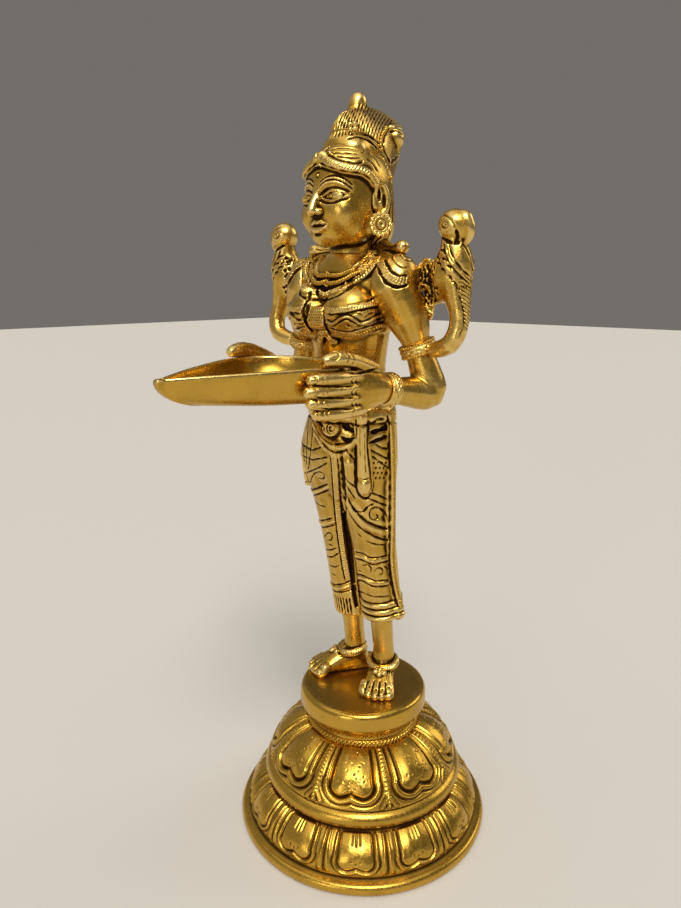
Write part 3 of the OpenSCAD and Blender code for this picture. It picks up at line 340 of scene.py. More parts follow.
class Clay:
    """Modelling clay on a fine grid of distances in millimetres, below nought inside the form."""

    BAND = 5.0
    MOST_FACES = 164000

    def __init__(self, low, high, step):
        self.step = step
        self.first = np.floor(np.asarray(low) / step).astype(int)
        self.d = np.full(np.ceil(np.asarray(high) / step).astype(int) - self.first + 1, self.BAND, np.float32)

    @classmethod
    def of_node(cls, name, step, room=2.5):
        """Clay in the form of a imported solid."""
        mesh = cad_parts[name].data
        mesh.calc_loop_triangles()
        triangles = np.empty(len(mesh.loop_triangles) * 3, np.int32)
        mesh.loop_triangles.foreach_get("vertices", triangles)
        points = mesh_points(mesh).astype(np.float32)
        level = vdb.FloatGrid.createLevelSetFromPolygons(
            points, triangles=triangles.reshape(-1, 3).astype(np.uint32),
            transform=vdb.createLinearTransform(step), halfWidth=cls.BAND / step)
        clay = cls(points.min(0) - room, points.max(0) + room, step)
        level.copyToArray(clay.d, ijk=tuple(int(i) for i in clay.first))
        return clay

    def window(self, low, high):
        """Part of the grid that holds a box, and the places along its three axes."""
        size = np.array(self.d.shape)
        a = np.clip(np.floor(np.asarray(low) / self.step).astype(int) - self.first, 0, size)
        b = np.clip(np.ceil(np.asarray(high) / self.step).astype(int) - self.first + 1, a, size)
        x, y, z = [((self.first[k] + np.arange(a[k], b[k])) * self.step).astype(np.float32) for k in range(3)]
        return tuple(slice(p, q) for p, q in zip(a, b)), x[:, None, None], y[None, :, None], z[None, None, :]

    def join(self, part, own, blend, cut=False):
        """Adds a form to the clay, or takes it away, with a soft edge."""
        d = self.d[part]
        if cut:
            own = -own
        h = np.clip(blend - np.abs(d - own), 0, None)
        h = h * h / (4 * blend)
        self.d[part] = np.maximum(d, own) + h if cut else np.minimum(d, own) - h

    def lay(self, form, blend=0.5, cut=False):
        """Form given as a function of place, over the whole grid."""
        part, x, y, z = self.window(self.first * self.step, (self.first + np.array(self.d.shape)) * self.step)
        self.join(part, form(x, y, z).astype(np.float32), blend, cut)

    def sweep(self, path, reach, away, blend, cut=False):
        """Form along a path; away gives the distance to the form at places measured from a step's start."""
        whole = self.window(path.min(0) - reach, path.max(0) + reach)[0]
        own = np.full([s.stop - s.start for s in whole], self.BAND, np.float32)
        if not own.size:
            return
        for k, (a, b) in enumerate(zip(path[:-1], path[1:])):
            part, x, y, z = self.window(np.minimum(a, b) - reach, np.maximum(a, b) + reach)
            local = tuple(slice(p.start - w.start, p.stop - w.start) for p, w in zip(part, whole))
            own[local] = np.minimum(own[local], away(k, x - a[0], y - a[1], z - a[2]))
        self.join(whole, own, blend, cut)

    def tube(self, path, radius, blend=0.35, cut=False):
        """Round roll along a path, laid on or cut out."""
        if len(path) < 2:
            return
        path = np.asarray(path, float)
        radius = np.broadcast_to(radius, len(path))

        def away(k, x, y, z):
            e = path[k + 1] - path[k]
            t = np.clip((x * e[0] + y * e[1] + z * e[2]) / (e @ e + 1e-9), 0, 1)
            middle = np.sqrt((x - t * e[0]) ** 2 + (y - t * e[1]) ** 2 + (z - t * e[2]) ** 2)
            return middle - (radius[k] + (radius[k + 1] - radius[k]) * t)

        self.sweep(path, radius.max() + blend + 2 * self.step, away, blend, cut)

    def groove(self, path, r, ends=True):
        """Cut along a path, thinner at its ends and a little uneven, as a graver leaves it."""
        if len(path) < 2:
            return
        run = distances(path)
        thin = np.clip(0.35 + np.minimum(run, run[-1] - run) / 1.6, 0, 1) if ends else 1.0
        self.tube(path, r * thin * (1 + 0.2 * np.sin(1.3 * run + 7 * path[0].sum())), 0.25, True)

    def strap(self, path, half, thick, blend=0.4):
        """Flat band with rounded edges that lies on the clay along a path."""
        path = np.asarray(path, float)
        face = self.slope(path, 1.2)
        half = np.broadcast_to(half, len(path))
        corner = 0.3

        def away(k, x, y, z):
            run = path[k + 1] - path[k]
            e = run / np.linalg.norm(run)
            n = face[k] + face[k + 1]
            n -= e * (n @ e)
            n /= np.linalg.norm(n)
            side = np.cross(n, e)
            along = x * e[0] + y * e[1] + z * e[2]
            over = np.maximum(along - np.linalg.norm(run), -along)
            up = np.abs(x * n[0] + y * n[1] + z * n[2]) - thick
            out = np.abs(x * side[0] + y * side[1] + z * side[2]) - half[k]
            edge = np.sqrt(np.clip(up + corner, 0, None) ** 2 + np.clip(out + corner, 0, None) ** 2
                           + np.clip(over, 0, None) ** 2) - corner
            return np.maximum(edge, np.minimum(np.maximum(up, out), 0))

        self.sweep(path, half.max() + thick + blend + 2 * self.step, away, blend)

    def beads(self, points, radius, blend=0.2, cut=False):
        """Small balls laid on, or pits."""
        for p, r in zip(points, np.broadcast_to(radius, len(points))):
            part, x, y, z = self.window(p - r - blend - self.step, p + r + blend + self.step)
            if all(s.stop > s.start for s in part):
                self.join(part, np.sqrt((x - p[0]) ** 2 + (y - p[1]) ** 2 + (z - p[2]) ** 2) - r, blend, cut)

    def pill(self, centre, radii, blend=1.0, cut=False, turn=np.eye(3)):
        """Egg form laid on or cut out."""
        reach = max(radii) + blend + self.step
        part, x, y, z = self.window(np.array(centre) - reach, np.array(centre) + reach)
        self.join(part, egg(centre, radii, turn)(x, y, z), blend, cut)

    def soften(self, size):
        """Rounds off flats and sharp corners."""
        self.d = blurred(self.d, size / self.step)

    def at(self, points, field=None):
        """Distance at places between the grid's points."""
        field = self.d if field is None else field
        g = np.clip(np.asarray(points) / self.step - self.first, 0, np.array(field.shape) - 1.001)
        i = g.astype(int)
        f = g - i
        total = 0.0
        for a, b, c in np.ndindex(2, 2, 2):
            share = np.abs(1 - a - f[:, 0]) * np.abs(1 - b - f[:, 1]) * np.abs(1 - c - f[:, 2])
            total = total + share * field[i[:, 0] + a, i[:, 1] + b, i[:, 2] + c]
        return total

    def slope(self, points, reach=0.7):
        """Direction out of the clay."""
        points = np.asarray(points, float)
        return unit(np.stack([self.at(points + e) - self.at(points - e) for e in np.eye(3) * reach], 1))

    def settle(self, points, lift=0.0):
        """Moves points on to the clay."""
        points = np.array(points, float)
        for _ in range(3):
            points -= self.slope(points) * (self.at(points) - lift)[:, None]
        return points

    def cast(self, start, ray):
        """Where rays first meet the clay; those that miss are dropped."""
        start, ray = np.broadcast_arrays(np.atleast_2d(np.asarray(start, float)), np.asarray(ray, float))
        ray = ray / np.linalg.norm(ray, axis=1)[:, None]
        low, high = self.first * self.step, (self.first + np.array(self.d.shape) - 1) * self.step
        safe = np.where(np.abs(ray) < 1e-9, 1e-9, ray)
        t = np.clip(np.minimum((low - start) / safe, (high - start) / safe).max(1), 0, None) + 0.01
        for _ in range(140):
            t = t + np.clip(self.at(start + ray * t[:, None]) * 0.85, -0.2, None)
        hit = start + ray * t[:, None]
        inside = ((hit > low + 0.1) & (hit < high - 0.1)).all(1)
        return hit[inside & (np.abs(self.at(hit)) < 0.15)]

    def girdle(self, centre, turns):
        """Line round the clay, seen from an upright axis."""
        out = outward(turns)
        return self.cast(np.array(centre) + 40 * out, -out)

    def seen(self, places, gap=1.2):
        """Path on the clay below a line of places in the camera's picture."""
        places = flowing(places, gap) if gap else np.asarray(places, float)
        across_by, down_by = (places[:, :1] - MID_X) / FOCAL, (places[:, 1:] - MID_Y) / FOCAL
        return self.cast(EYE, AHEAD + RIGHT * across_by - ABOVE * down_by)

    def chase(self, lines, r, gap=1.2, copies=None):
        """Cuts along lines of the camera's picture, and along each one's copies on other sides."""
        for places in lines:
            path = self.seen(places, gap)
            for each in (self.settle(p) for p in copies(path)) if copies else (path,):
                self.groove(each, r)

    def mesh(self, name, dark=1.0, shadow_paint=None):
        """Surface of the clay, with painted shade in its hollows and its edges marked for the finish; an optional
        function paints shadow on chosen places.
        """
        near, far = blurred(self.d, NEAR_BLUR / self.step), blurred(self.d, FAR_BLUR / self.step)
        grid = vdb.FloatGrid(self.BAND)
        grid.copyFromArray(self.d, ijk=tuple(int(i) for i in self.first))
        grid.transform = vdb.createLinearTransform(self.step)
        points, quads = grid.convertToQuads(0.0)
        mesh = skin_mesh(name, points, [quads])
        if 2 * len(quads) > self.MOST_FACES:
            carrier = put(name + "_full", mesh)
            carrier.modifiers.new("fewer_faces", "DECIMATE").ratio = self.MOST_FACES / (2 * len(quads))
            mesh = made_plain(carrier, name)
        v = mesh_points(mesh)
        hollow = -(self.at(v, near) / NEAR_DEPTH + self.at(v, far) / FAR_DEPTH)
        # Painted shade in the hollows, scaled by dark, and painted shadow from the optional function, which also dims
        # the pale edges
        painted_shadow = shadow_paint(v) if shadow_paint else 0.0
        paint(mesh, recess=dark * hollow + painted_shadow, edge=-hollow * EDGE_SHARE - painted_shadow)
        return mesh


def blurred(a, size):
    """Soft copy of a grid; size in grid steps."""
    half = max(1, int(2.5 * size + 0.5))
    w = np.exp(-0.5 * (np.arange(-half, half + 1) / size) ** 2)
    w = (w / w.sum()).astype(np.float32)
    for axis in range(3):
        pad = [(0, 0)] * 3
        pad[axis] = (half, half)
        p = np.pad(a, pad, mode="edge")
        n = a.shape[axis]
        out = np.zeros_like(a)
        for k, share in enumerate(w):
            cut = [slice(None)] * 3
            cut[axis] = slice(k, k + n)
            out += share * p[tuple(cut)]
        a = out
    return a


def hatch(clay, path, half, gap, r=0.3, slant=0.0):
    """Row of short cuts over a path that lies on the clay."""
    path = resample(path, gap)
    run = unit(np.gradient(path, axis=0))
    side = unit(np.cross(clay.slope(path), run) + slant * run)
    for line in zip(path - side * half, path, path + side * half):
        clay.tube(clay.settle(np.stack(line)), r, 0.15, True)


def outline_distance(u, v, corners, closed=True):
    """Distance to an outline on the flat pattern; below nought inside it when it is closed."""
    a = np.asarray(corners, float)
    b = np.roll(a, -1, 0)
    if not closed:
        a, b = a[:-1], b[:-1]
    best = np.full(u.shape, 1e9)
    inside = np.zeros(u.shape, bool)
    for (ax, ay), (bx, by) in zip(a, b):
        ex, ey = bx - ax, by - ay
        t = np.clip(((u - ax) * ex + (v - ay) * ey) / (ex * ex + ey * ey + 1e-12), 0, 1)
        best = np.minimum(best, (u - ax - t * ex) ** 2 + (v - ay - t * ey) ** 2)
        if closed and ay != by:
            inside ^= ((ay > v) != (by > v)) & (u < ax + (v - ay) * ex / (by - ay))
    best = np.sqrt(best)
    return np.where(inside, -best, best) if closed else best


def ridge(d, centre, half):
    """Rounded bump across a distance."""
    return 0.5 + 0.5 * np.cos(np.pi * np.clip((d - centre) / half, -1, 1))


def rise(d, lo, hi):
    """Soft step from nought to one between two distances."""
    t = np.clip((d - lo) / (hi - lo), 0, 1)
    return t * t * (3 - 2 * t)


def swell(r0, z0, r1, z1, bulge=TIER_BULGE):
    """Swelling wall of a tier from its foot to its top."""
    n = np.array([z1 - z0, r0 - r1]) / math.hypot(z1 - z0, r0 - r1)
    c = np.array([(r0 + r1) / 2, (z0 + z1) / 2]) + n * 2 * bulge
    t = np.linspace(0, 1, 200)[:, None]
    return resample((1 - t) ** 2 * np.array([r0, z0]) + 2 * t * (1 - t) * c + t * t * np.array([r1, z1]), 0.3)


def half_round(r, z0, z1, depth, steps):
    """Rounded edge between two heights."""
    a = np.linspace(-np.pi / 2, np.pi / 2, steps)
    return np.stack([r - depth + depth * np.cos(a), (z0 + z1) / 2 + (z1 - z0) / 2 * np.sin(a)], 1)


def petal(half, top_half, lobe, notch, height, base):
    """Notched petal: two lobes at the bottom, sides running up to the top."""
    a = np.linspace(-0.5 * np.pi, 0.12 * np.pi, 12)
    lobe_u = half - lobe
    right = [(0, base + notch), (lobe_u * 0.35, base + notch * 0.55)]
    right += [(lobe_u + lobe * math.cos(t), base + lobe + lobe * math.sin(t)) for t in a]
    right += [(half * 0.99 + (top_half - half) * s, base + 1.6 * lobe + (height - base - 1.6 * lobe) * s)
              for s in (0.3, 0.65, 1.0)]
    right = flowing(right, 0.7)
    return np.vstack([right, right[::-1] * [-1, 1]])


def petal_cells(wall, columns, count, mid_r, first, shake, seed):
    """Flat pattern of a tier's wall: places across and up each petal, the way to the next petal's cell,
    the width of a cell and the length of the wall. Each petal is shaken a little out of its place."""
    turn = (np.arange(columns) / columns - first / 360) * count + 0.5
    which = np.floor(turn).astype(int)
    offset = np.random.default_rng(seed).normal(0, shake, count)
    cell = 2 * np.pi * mid_r / count
    middle = (turn - which - 0.5) * cell
    length = np.linalg.norm(np.diff(wall, axis=0), axis=1).sum()
    v = np.linspace(0, length, len(wall))[:, None]
    u = (middle + offset[which % count])[None, :] * np.ones_like(v)
    beside = np.abs(cell / 2 - np.abs(middle))[None, :] * np.ones_like(v)
    return u, v * np.ones_like(u), beside, cell, length


def lower_relief(wall, columns):
    """Twelve shield petals with a line round each, strokes and punch marks."""
    u, v, beside, _, length = petal_cells(wall, columns, 12, 50.8, 38, 0.25, 4)
    d = outline_distance(u, v, petal(7.6, 7.0, 3.7, 1.5, length + 4, 2.7))
    h = 0.55 * rise(-d, 0, 0.9) + 0.55 * rise(-d, 0, 5)
    low = 0.55 + 0.45 * rise(9 - v, 0, 5)
    h -= 0.6 * low * ridge(d, 0.25, 0.55)
    h += 0.7 * ridge(d, 1.45, 0.85) * rise(v, 0.2, 1.6)
    h -= 0.45 * low * ridge(d, 2.5, 0.5) * rise(v, 1.0, 3.0)
    flare = 0.75 + 0.7 * rise(length - v, 4, length)
    h += 0.75 * ridge(beside, 1.25 * flare, 1.0 * flare) * rise(d, 1.6, 2.8) * rise(v, 0.6, 2.4)
    h -= 0.35 * ridge(beside, 0, 0.5)
    for k in (-1, 0, 1):
        stroke = outline_distance(u, v, [(1.5 * k, length), (1.75 * k, length - 5.2 - 0.6 * (k == 0))], False)
        h -= 0.6 * ridge(stroke, 0, 0.5)
        h -= 0.65 * ridge(np.hypot(u - 1.9 * k, v - (6.6 - 0.9 * (k == 0))), 0, 0.7)
    return h * rise(v, 0.0, 0.8) * rise(length - v, -0.4, 0.8)


def upper_relief(wall, columns):
    """Eight broad petals with a raised border, and a beaded strip ending in leaf tips between them."""
    u, v, beside, cell, length = petal_cells(wall, columns, 8, 38.0, 34, 0.3, 9)
    d = outline_distance(u, v, petal(9.0, 8.4, 4.6, 2.0, length + 5, 5.6))
    h = 0.7 * rise(-d, 0, 1.1) + 0.9 * rise(-d, 0, 6)
    deep = 0.35 + 0.85 * rise(11.5 - v, 0, 4) * rise(np.abs(u), 0.8, 2.4)
    h -= deep * ridge(d, 0.4, 0.75)
    h += 1.05 * np.clip(ridge(d, 2.1, 1.5) * 1.5, 0, 1) * rise(v, 0.4, 2.0)
    h -= 0.3 * ridge(d, 2.1, 0.35) * rise(v, 9, 13)
    h -= (0.4 + 0.3 * rise(12 - v, 0, 5)) * ridge(d, 3.75, 0.5) * rise(v, 1.4, 3.0)
    beads = 0.5 + 0.5 * np.cos(2 * np.pi * (v + 0.45 * beside) / 1.75)
    h += rise(d, 4.0, 4.7) * (0.35 + 0.4 * beads * ridge(beside, 0, 1.6))
    tip = np.full(u.shape, np.inf)
    for s in (-1, 1):
        for foot, low, high in ((0.0, 1.4, 6.0), (-3.0, 1.3, 6.4), (3.0, 1.3, 6.4)):
            leaf = [(s * (cell / 2 + foot), low), (s * cell / 2, high)]
            tip = np.minimum(tip, outline_distance(u, v, leaf, False))
    h += (0.65 * ridge(tip, 0, 0.95) * rise(d, 3.2, 4.4)
          - 0.4 * ridge(tip, 1.15, 0.4) * rise(d, 3.6, 4.6) * rise(7 - v, 0, 2))
    rng = np.random.default_rng(21)
    for _ in range(26):
        pu, pv = rng.uniform(-5.5, 5.5), rng.uniform(9.0, length - 3)
        h -= 0.32 * ridge(np.hypot(u - pu, v - pv), 0, 0.55) * rise(-d, 0.8, 1.6)
    return h * rise(v, 0.0, 0.9) * rise(length - v, -0.6, 0.6)


def hammered(rows, columns, size, seed):
    """Slow unevenness of a hand-filed surface."""
    a = np.random.default_rng(seed).normal(0, 1, (rows, columns))
    for _ in range(2):
        a = blur_wrap(a, max(1, rows // 10), max(1, columns // 60))
    return size * a / (a.std() + 1e-9)


def build_foot_tier():
    """Foot rim, lower petals and polished bead, hollow below."""
    wall = swell(LOWER_R, LOWER_Z, LOWER_TOP_R, BEAD_Z)
    inside = LOWER_R - WALL
    before = np.vstack([[inside, 0], half_round(RIM_R, 0, LOWER_Z - 1, 2.0, 14),
                        [LOWER_R - 1.2, LOWER_Z - 1], [LOWER_R - 1.3, LOWER_Z - 0.4]])
    after = np.vstack([[LOWER_TOP_R - 1.2, BEAD_Z + 0.1], [LOWER_TOP_R - 1.3, BEAD_Z + 0.9],
                       half_round(BEAD_R, BEAD_Z + 1, UPPER_Z, 4.8, 26),
                       [LIP_R, UPPER_Z], [LIP_R, BEAD_Z - WALL], [inside, LOWER_Z - WALL]])
    columns = 12 * 72
    profile = np.vstack([before, wall, after])
    relief = hammered(len(profile), columns, 0.04, 2)
    a, b = len(before), len(before) + len(wall)
    relief[a:b] += lower_relief(wall, columns)
    # Painted shade in the corners where the petal wall meets the foot rim and the bead
    row_darkening = np.zeros(len(profile))
    row_darkening[a - 2:a] = row_darkening[b:b + 2] = SEAM_SHADE
    set_piece("foot_tier_cast", lathe("foot_tier_cast", profile, columns, relief, row_darkening), "cast_brass", "foot_tier")


def build_upper_tier():
    """Upper petals on a low shoulder, with the core and the plate that carry the pad."""
    wall = swell(UPPER_R, UPPER_Z, SHOULDER_R, SHOULDER_Z, SHOULDER_BULGE)
    before = [[0, PLATE_Z - PLATE_T], [HOLLOW_R, PLATE_Z - PLATE_T], [HOLLOW_R, SHOULDER_Z - WALL],
              [LIP_R - WALL, UPPER_Z], [LIP_R - WALL, UPPER_Z - LIP_H], [LIP_R, UPPER_Z - LIP_H],
              [LIP_R, UPPER_Z + 0.2], [UPPER_R - 0.9, UPPER_Z + 0.2]]
    profile = np.vstack([before, wall, [[CORE_R, SHOULDER_Z + 0.3], [CORE_R, PLATE_Z], [0, PLATE_Z]]])
    columns = 8 * 100
    relief = np.zeros((len(profile) - 2, columns))
    a = len(before) - 1
    relief[a:a + len(wall)] = upper_relief(wall, columns) + hammered(len(wall), columns, 0.04, 6)
    # Painted shade in the corner where the lip meets the petal wall
    row_darkening = np.zeros(len(profile) - 2)
    row_darkening[a - 1:a + 1] = SEAM_SHADE
    set_piece("upper_tier_cast", lathe("upper_tier_cast", profile, columns, relief, row_darkening), "cast_brass", "upper_tier")


def build_pad():
    """Necked pad with a rounded side and a pitted top, darker and rougher inside its rim."""
    edge = 2.2
    side = flowing([(CORE_R + 0.8, NECK_Z), (CORE_R + 0.7, NECK_Z + 2.0), (CORE_R + 1.4, NECK_Z + 4.2),
                    (PAD_R - 2.8, NECK_Z + 5.6), (PAD_R - 0.7, NECK_Z + 6.6), (PAD_R + 0.1, NECK_Z + 8.2),
                    (PAD_R + 0.2, SOLE_Z - 5.0), (PAD_R, SOLE_Z - 2.2), (PAD_R - 0.8, SOLE_Z - 0.7),
                    (PAD_R - edge, SOLE_Z)], 0.4)
    top = np.stack([np.linspace(PAD_R - edge, 0.6, 60), np.full(60, SOLE_Z)], 1)[1:]
    under = [[0, PLATE_Z], [CORE_R + 0.1, PLATE_Z], [CORE_R + 0.1, NECK_Z]]
    profile = np.vstack([under, side, top, [0, SOLE_Z]])
    columns = 260
    relief = hammered(len(profile) - 2, columns, 0.06, 8)
    rng = np.random.default_rng(3)
    r, z, turn = profile[1:-1, :1], profile[1:-1, 1:], 2 * np.pi * np.arange(columns)[None] / columns
    for _ in range(22):
        pr, pt = PAD_R * 0.9 * math.sqrt(rng.uniform(0.05, 1)), rng.uniform(0, 2 * np.pi)
        away = np.hypot(r * np.cos(turn) - pr * np.cos(pt), r * np.sin(turn) - pr * np.sin(pt))
        relief -= rng.uniform(0.1, 0.3) * ridge(away, 0, rng.uniform(0.6, 1.2)) * (z > SOLE_Z - 0.1)
    relief *= rise(r, 1.0, 10.0)
    # The top inside its rim is darkened, which also makes it rougher
    row_darkening = (np.where(z > SOLE_Z - 0.02, 0.34, 0.0) * rise(PAD_R - 1.6 - r, 0, 3))[:, 0]
    set_piece("standing_pad_turned", lathe("standing_pad_turned", profile, columns, relief, row_darkening),
              "polished_brass", "standing_pad")


# How far round to the back lines run on a leg, its hem, and where the shin leaves the cuff
LEG_BACK, HEM_Z, CUFF_Z = math.radians(205), 99.2, 101.0


def leg_axis(side, z):
    """Middle of a leg at a height; side is 1 for her left."""
    x = side * 9.2 - np.interp(z, [99.5, 140.5, 185.5], [2.2, 3.6, 3.6])
    y = np.interp(z, [99.5, 140.5, 185.5, 211.5, 244.5], [5, -1.1, -8.4, -9, -11.5])
    return np.stack([x, y, z], -1)


def leg_line(clay, side, turns, z):
    """Line on a leg through turns, from the front towards its outer side, and heights."""
    out = outward(turns) * [side, 1, 1]
    return clay.cast(leg_axis(side, np.broadcast_to(z, len(turns))) + 15 * out, -out)


def round_leg(clay, side, places):
    """Line that the picture shows on a leg and its way on round the back, broken by the sash on her left."""
    path = clay.seen(places)
    a = leg_axis(side, path[:, 2])
    turn = side * np.arctan2(path[:, 0] - a[:, 0], a[:, 1] - path[:, 1])
    order = np.argsort(turn)
    path, turn = path[order], turn[order]
    turns = np.arange(turn[-1] + (0.9 if side > 0 else 0.06), LEG_BACK, 0.07)
    z = path[-1, 2] + (path[:, 2].mean() - path[-1, 2]) * rise(turns, turn[-1], turn[-1] + 1.4)
    rest = leg_line(clay, side, turns, z)
    return [path, rest] if side > 0 else [np.vstack([path, rest])]


def carve_legs(name):
    """Trousers with folds, swags, sashes and belt."""
    clay = Clay.of_node("draped_legs", 0.3)
    clay.soften(0.55)
    clay.lay(lambda x, y, z: z - HEM_Z + 0 * x * y, 0.3, True)
    foot = leg_axis(1, CUFF_Z)
    clay.lay(lambda x, y, z: np.maximum(np.hypot(x - foot[0], y - foot[1]) - 7.0, z - 103.6), 0.3, True)

    def cuts(r, *lines):
        clay.chase(lines, 0.82 * r)

    def raised(places, r, sink):
        clay.tube(clay.settle(clay.seen(places), -sink), r, 1.4)

    def bands(side, lines, cut):
        """Lines round a leg, cut in or laid on."""
        for places in lines:
            for path in round_leg(clay, side, places):
                if cut:
                    clay.groove(path, 0.4)
                else:
                    clay.tube(clay.settle(path, -0.35), 0.85, 0.4)

    # Front ribbon on her left thigh
    ribbon = clay.settle(clay.seen([(362, 417), (361.5, 435), (362, 455), (363, 475)]), -0.7)
    clay.tube(ribbon, tapered(ribbon, [0, 0.5, 1], [2.5, 2.1, 2.7]), 0.6)
    clay.pill(clay.seen([(364, 485)], 0)[0], (3.0, 2.6, 4.6), 0.9)
    cuts(0.75, [(355.5, 420), (356, 440), (355.5, 470), (356.5, 488), (361, 497), (368, 498), (372.5, 491)],
         [(368.5, 421), (368, 450), (371, 474), (372.5, 491)])
    cuts(0.42, [(360, 422), (359.5, 440), (360, 458)], [(365, 432), (365, 452), (366, 473)],
         [(359, 478), (364, 480), (369, 478)])

    # Deep folds that sweep down over her left thigh and knee
    raised([(344, 493), (350, 508), (362, 523), (372, 529), (386, 533)], 1.5, 0.9)
    raised([(354, 503), (364, 514), (374, 521), (388, 525)], 1.2, 0.8)
    cuts(0.65, [(340, 489), (345, 503), (351, 517), (360, 528), (368, 533), (378, 538), (390, 541)],
         [(343, 487), (351, 505), (361, 517), (371, 524), (389, 530)],
         [(341, 472), (347, 481), (356, 488)], [(342, 480), (350, 492), (355, 499)],
         [(352, 507), (358, 512), (363, 512), (368, 507), (374, 504)])
    cuts(0.5, [(388, 521), (384, 512), (378, 507.5), (372, 509), (369.5, 513.5), (371, 518.5), (376, 519.5),
               (378, 516.5), (375.5, 514)],
         [(358, 495), (372, 500), (387, 506)], [(371, 493), (380, 496), (389, 501)],
         [(371, 450), (384, 457), (389, 459)], [(372, 456), (387, 467)], [(372, 440), (380, 447), (389, 449)])
    dots = [(374 + 4 * (k % 4) + (k // 4) % 2 * 2, 463 + 5 * (k // 4)) for k in range(16)]
    clay.beads(clay.seen(dots, 0), 0.55, 0.15, True)

    # Bands, scrolls and plain stretches below her left knee
    bands(1, ([(355, 552), (362, 553.5), (371, 558), (381, 557), (388, 555)],
              [(355.5, 559), (362, 560.3), (372, 565), (382, 563), (389, 561)],
              [(357, 574.5), (362, 575.3), (375, 581), (388, 580)],
              [(357.5, 580.5), (363, 581.3), (373, 587), (388, 586)]), True)
    bands(1, ([(355.5, 556), (362, 557.3), (372, 561.5), (382, 560), (388, 558)],
              [(357.5, 577.5), (363, 578.4), (374, 584), (388, 583)]), False)
    cuts(0.42, [(374, 572), (378, 568), (382, 569), (383, 573), (379, 575)],
         [(362, 566), (367, 565), (371, 568), (370, 573)], [(358, 570), (362, 572)], [(384, 566), (388, 569)],
         [(366, 541), (374, 544), (384, 545)], [(357, 533), (362, 538)],
         [(352, 590), (361, 592), (374, 597), (389, 596)])
    turns = np.arange(math.radians(-48), LEG_BACK, 0.07)
    for k in range(3):
        z = 105.2 + 3.3 * k - 1.3 * np.cos(turns)
        clay.tube(clay.settle(leg_line(clay, 1, turns, z), -0.8), 1.45, 0.35)
        clay.groove(clay.settle(leg_line(clay, 1, turns, z + 1.7)), 0.4)

    # Her right leg
    strip = clay.seen([(332.5, 445), (335, 470), (339, 520), (344.5, 560), (348.5, 580)])
    clay.strap(strip, 1.3, 0.6)
    hatch(clay, clay.settle(strip), 1.1, 1.2, 0.26)
    cuts(0.5, [(329, 444), (331.5, 470), (335.5, 520), (341, 560), (345, 580)],
         [(336, 445), (338.5, 470), (342.5, 520), (347.5, 560)])
    bands(-1, ([(312, 450), (325, 446)], [(312, 460), (328, 457)], [(306, 473), (316, 469), (327, 463)],
               [(309, 491), (318, 488), (328, 484)], [(310, 496), (319, 494), (329, 490)],
               [(318, 521), (325, 520), (333, 518)], [(320, 528), (327, 527), (335, 525)],
               [(324, 549), (330, 550), (337, 548)], [(326, 556), (332, 557), (339, 553)],
               [(334, 585), (343, 584), (353, 580)], [(336, 592), (344, 592), (356, 589)]), True)
    bands(-1, ([(310, 494), (318.5, 491), (328.5, 487)], [(319, 524.5), (326, 523.5), (334, 521.5)],
               [(335, 588.5), (343.5, 588), (354.5, 584.5)]), False)
    cuts(0.42, [(310, 483), (313, 475), (319, 472), (324, 475), (323, 479), (318, 478)],
         [(314, 500), (319, 505), (326, 507)], [(324, 537), (328, 533), (332, 535), (331, 540), (327, 540)],
         [(328, 544), (333, 546)], [(329, 565), (335, 567), (340, 565)], [(331, 573), (336, 576)])
    for turn in np.arange(-40, 205, 11.0):
        clay.groove(leg_line(clay, -1, np.full(16, math.radians(turn)), np.linspace(99.4, 109.5, 16)), 0.55)

    # Sashes at her sides
    clay.chase([[(388, 415), (390, 470), (390, 530), (389.5, 565), (393, 590), (398, 606)]], 0.75)
    cord = clay.seen([(391, 412), (392.5, 430), (393.5, 470), (393.5, 520), (393, 560), (397, 590), (401, 605)])
    clay.strap(cord, 1.3, 0.5)
    string_rope(clay, clay.settle(cord), 0.5)
    cuts(0.45, [(314, 412), (311, 445), (308, 470)], [(305, 420), (303, 440), (304, 462)],
         [(309, 415), (307, 440), (306, 465)])

    # Belt, swag and buckle
    disc = clay.seen([(331, 428)], 0)
    n = clay.slope(disc, 1.5)[0]
    u = np.cross(UP, n)
    u /= np.linalg.norm(u)
    a = np.linspace(0, 4.5 * np.pi, 60)[:, None]
    coil = disc[0] + (np.cos(a) * u + np.sin(a) * np.cross(n, u)) * (0.3 + 3.0 * a / a[-1])
    clay.groove(clay.settle(coil), 0.42)
    raised([(315, 424), (322, 436), (334, 446), (346, 447), (356, 440)], 1.5, 0.3)
    raised([(316, 434), (325, 447), (337, 455), (348, 453)], 1.2, 0.3)
    cuts(0.5, [(313, 421), (319, 434), (330, 443), (344, 443), (355, 437)],
         [(314, 430), (322, 443), (334, 452), (348, 450)], [(345, 448), (352, 457), (357, 462)],
         [(368, 432), (378, 430), (388, 427)], [(368, 443), (378, 441), (388, 437)],
         [(371, 425), (376, 421), (382, 421)])

    # Deep dark hollows round the buckle and beside the ribbon, and the valley between her legs
    for places, r in (([(343, 424), (349, 429), (354, 431)], 1.2), ([(341, 437), (348, 441), (354, 438)], 1.0),
                      ([(370.5, 424), (377, 420), (385, 420)], 0.8), ([(370.5, 433), (378, 430.5), (387, 427)], 0.9),
                      ([(370.5, 442), (378, 440), (387, 436)], 0.8), ([(316, 420), (321, 424), (324, 431)], 0.7)):
        clay.chase([places], r)
    valley = clay.seen([(341, 452), (342.5, 482), (346, 520), (351.5, 560), (354.5, 590), (357, 606)])
    clay.tube(valley, tapered(valley, [0, 0.15, 0.7, 1], [0.5, 1.3, 1.5, 1.0]), 0.7, True)

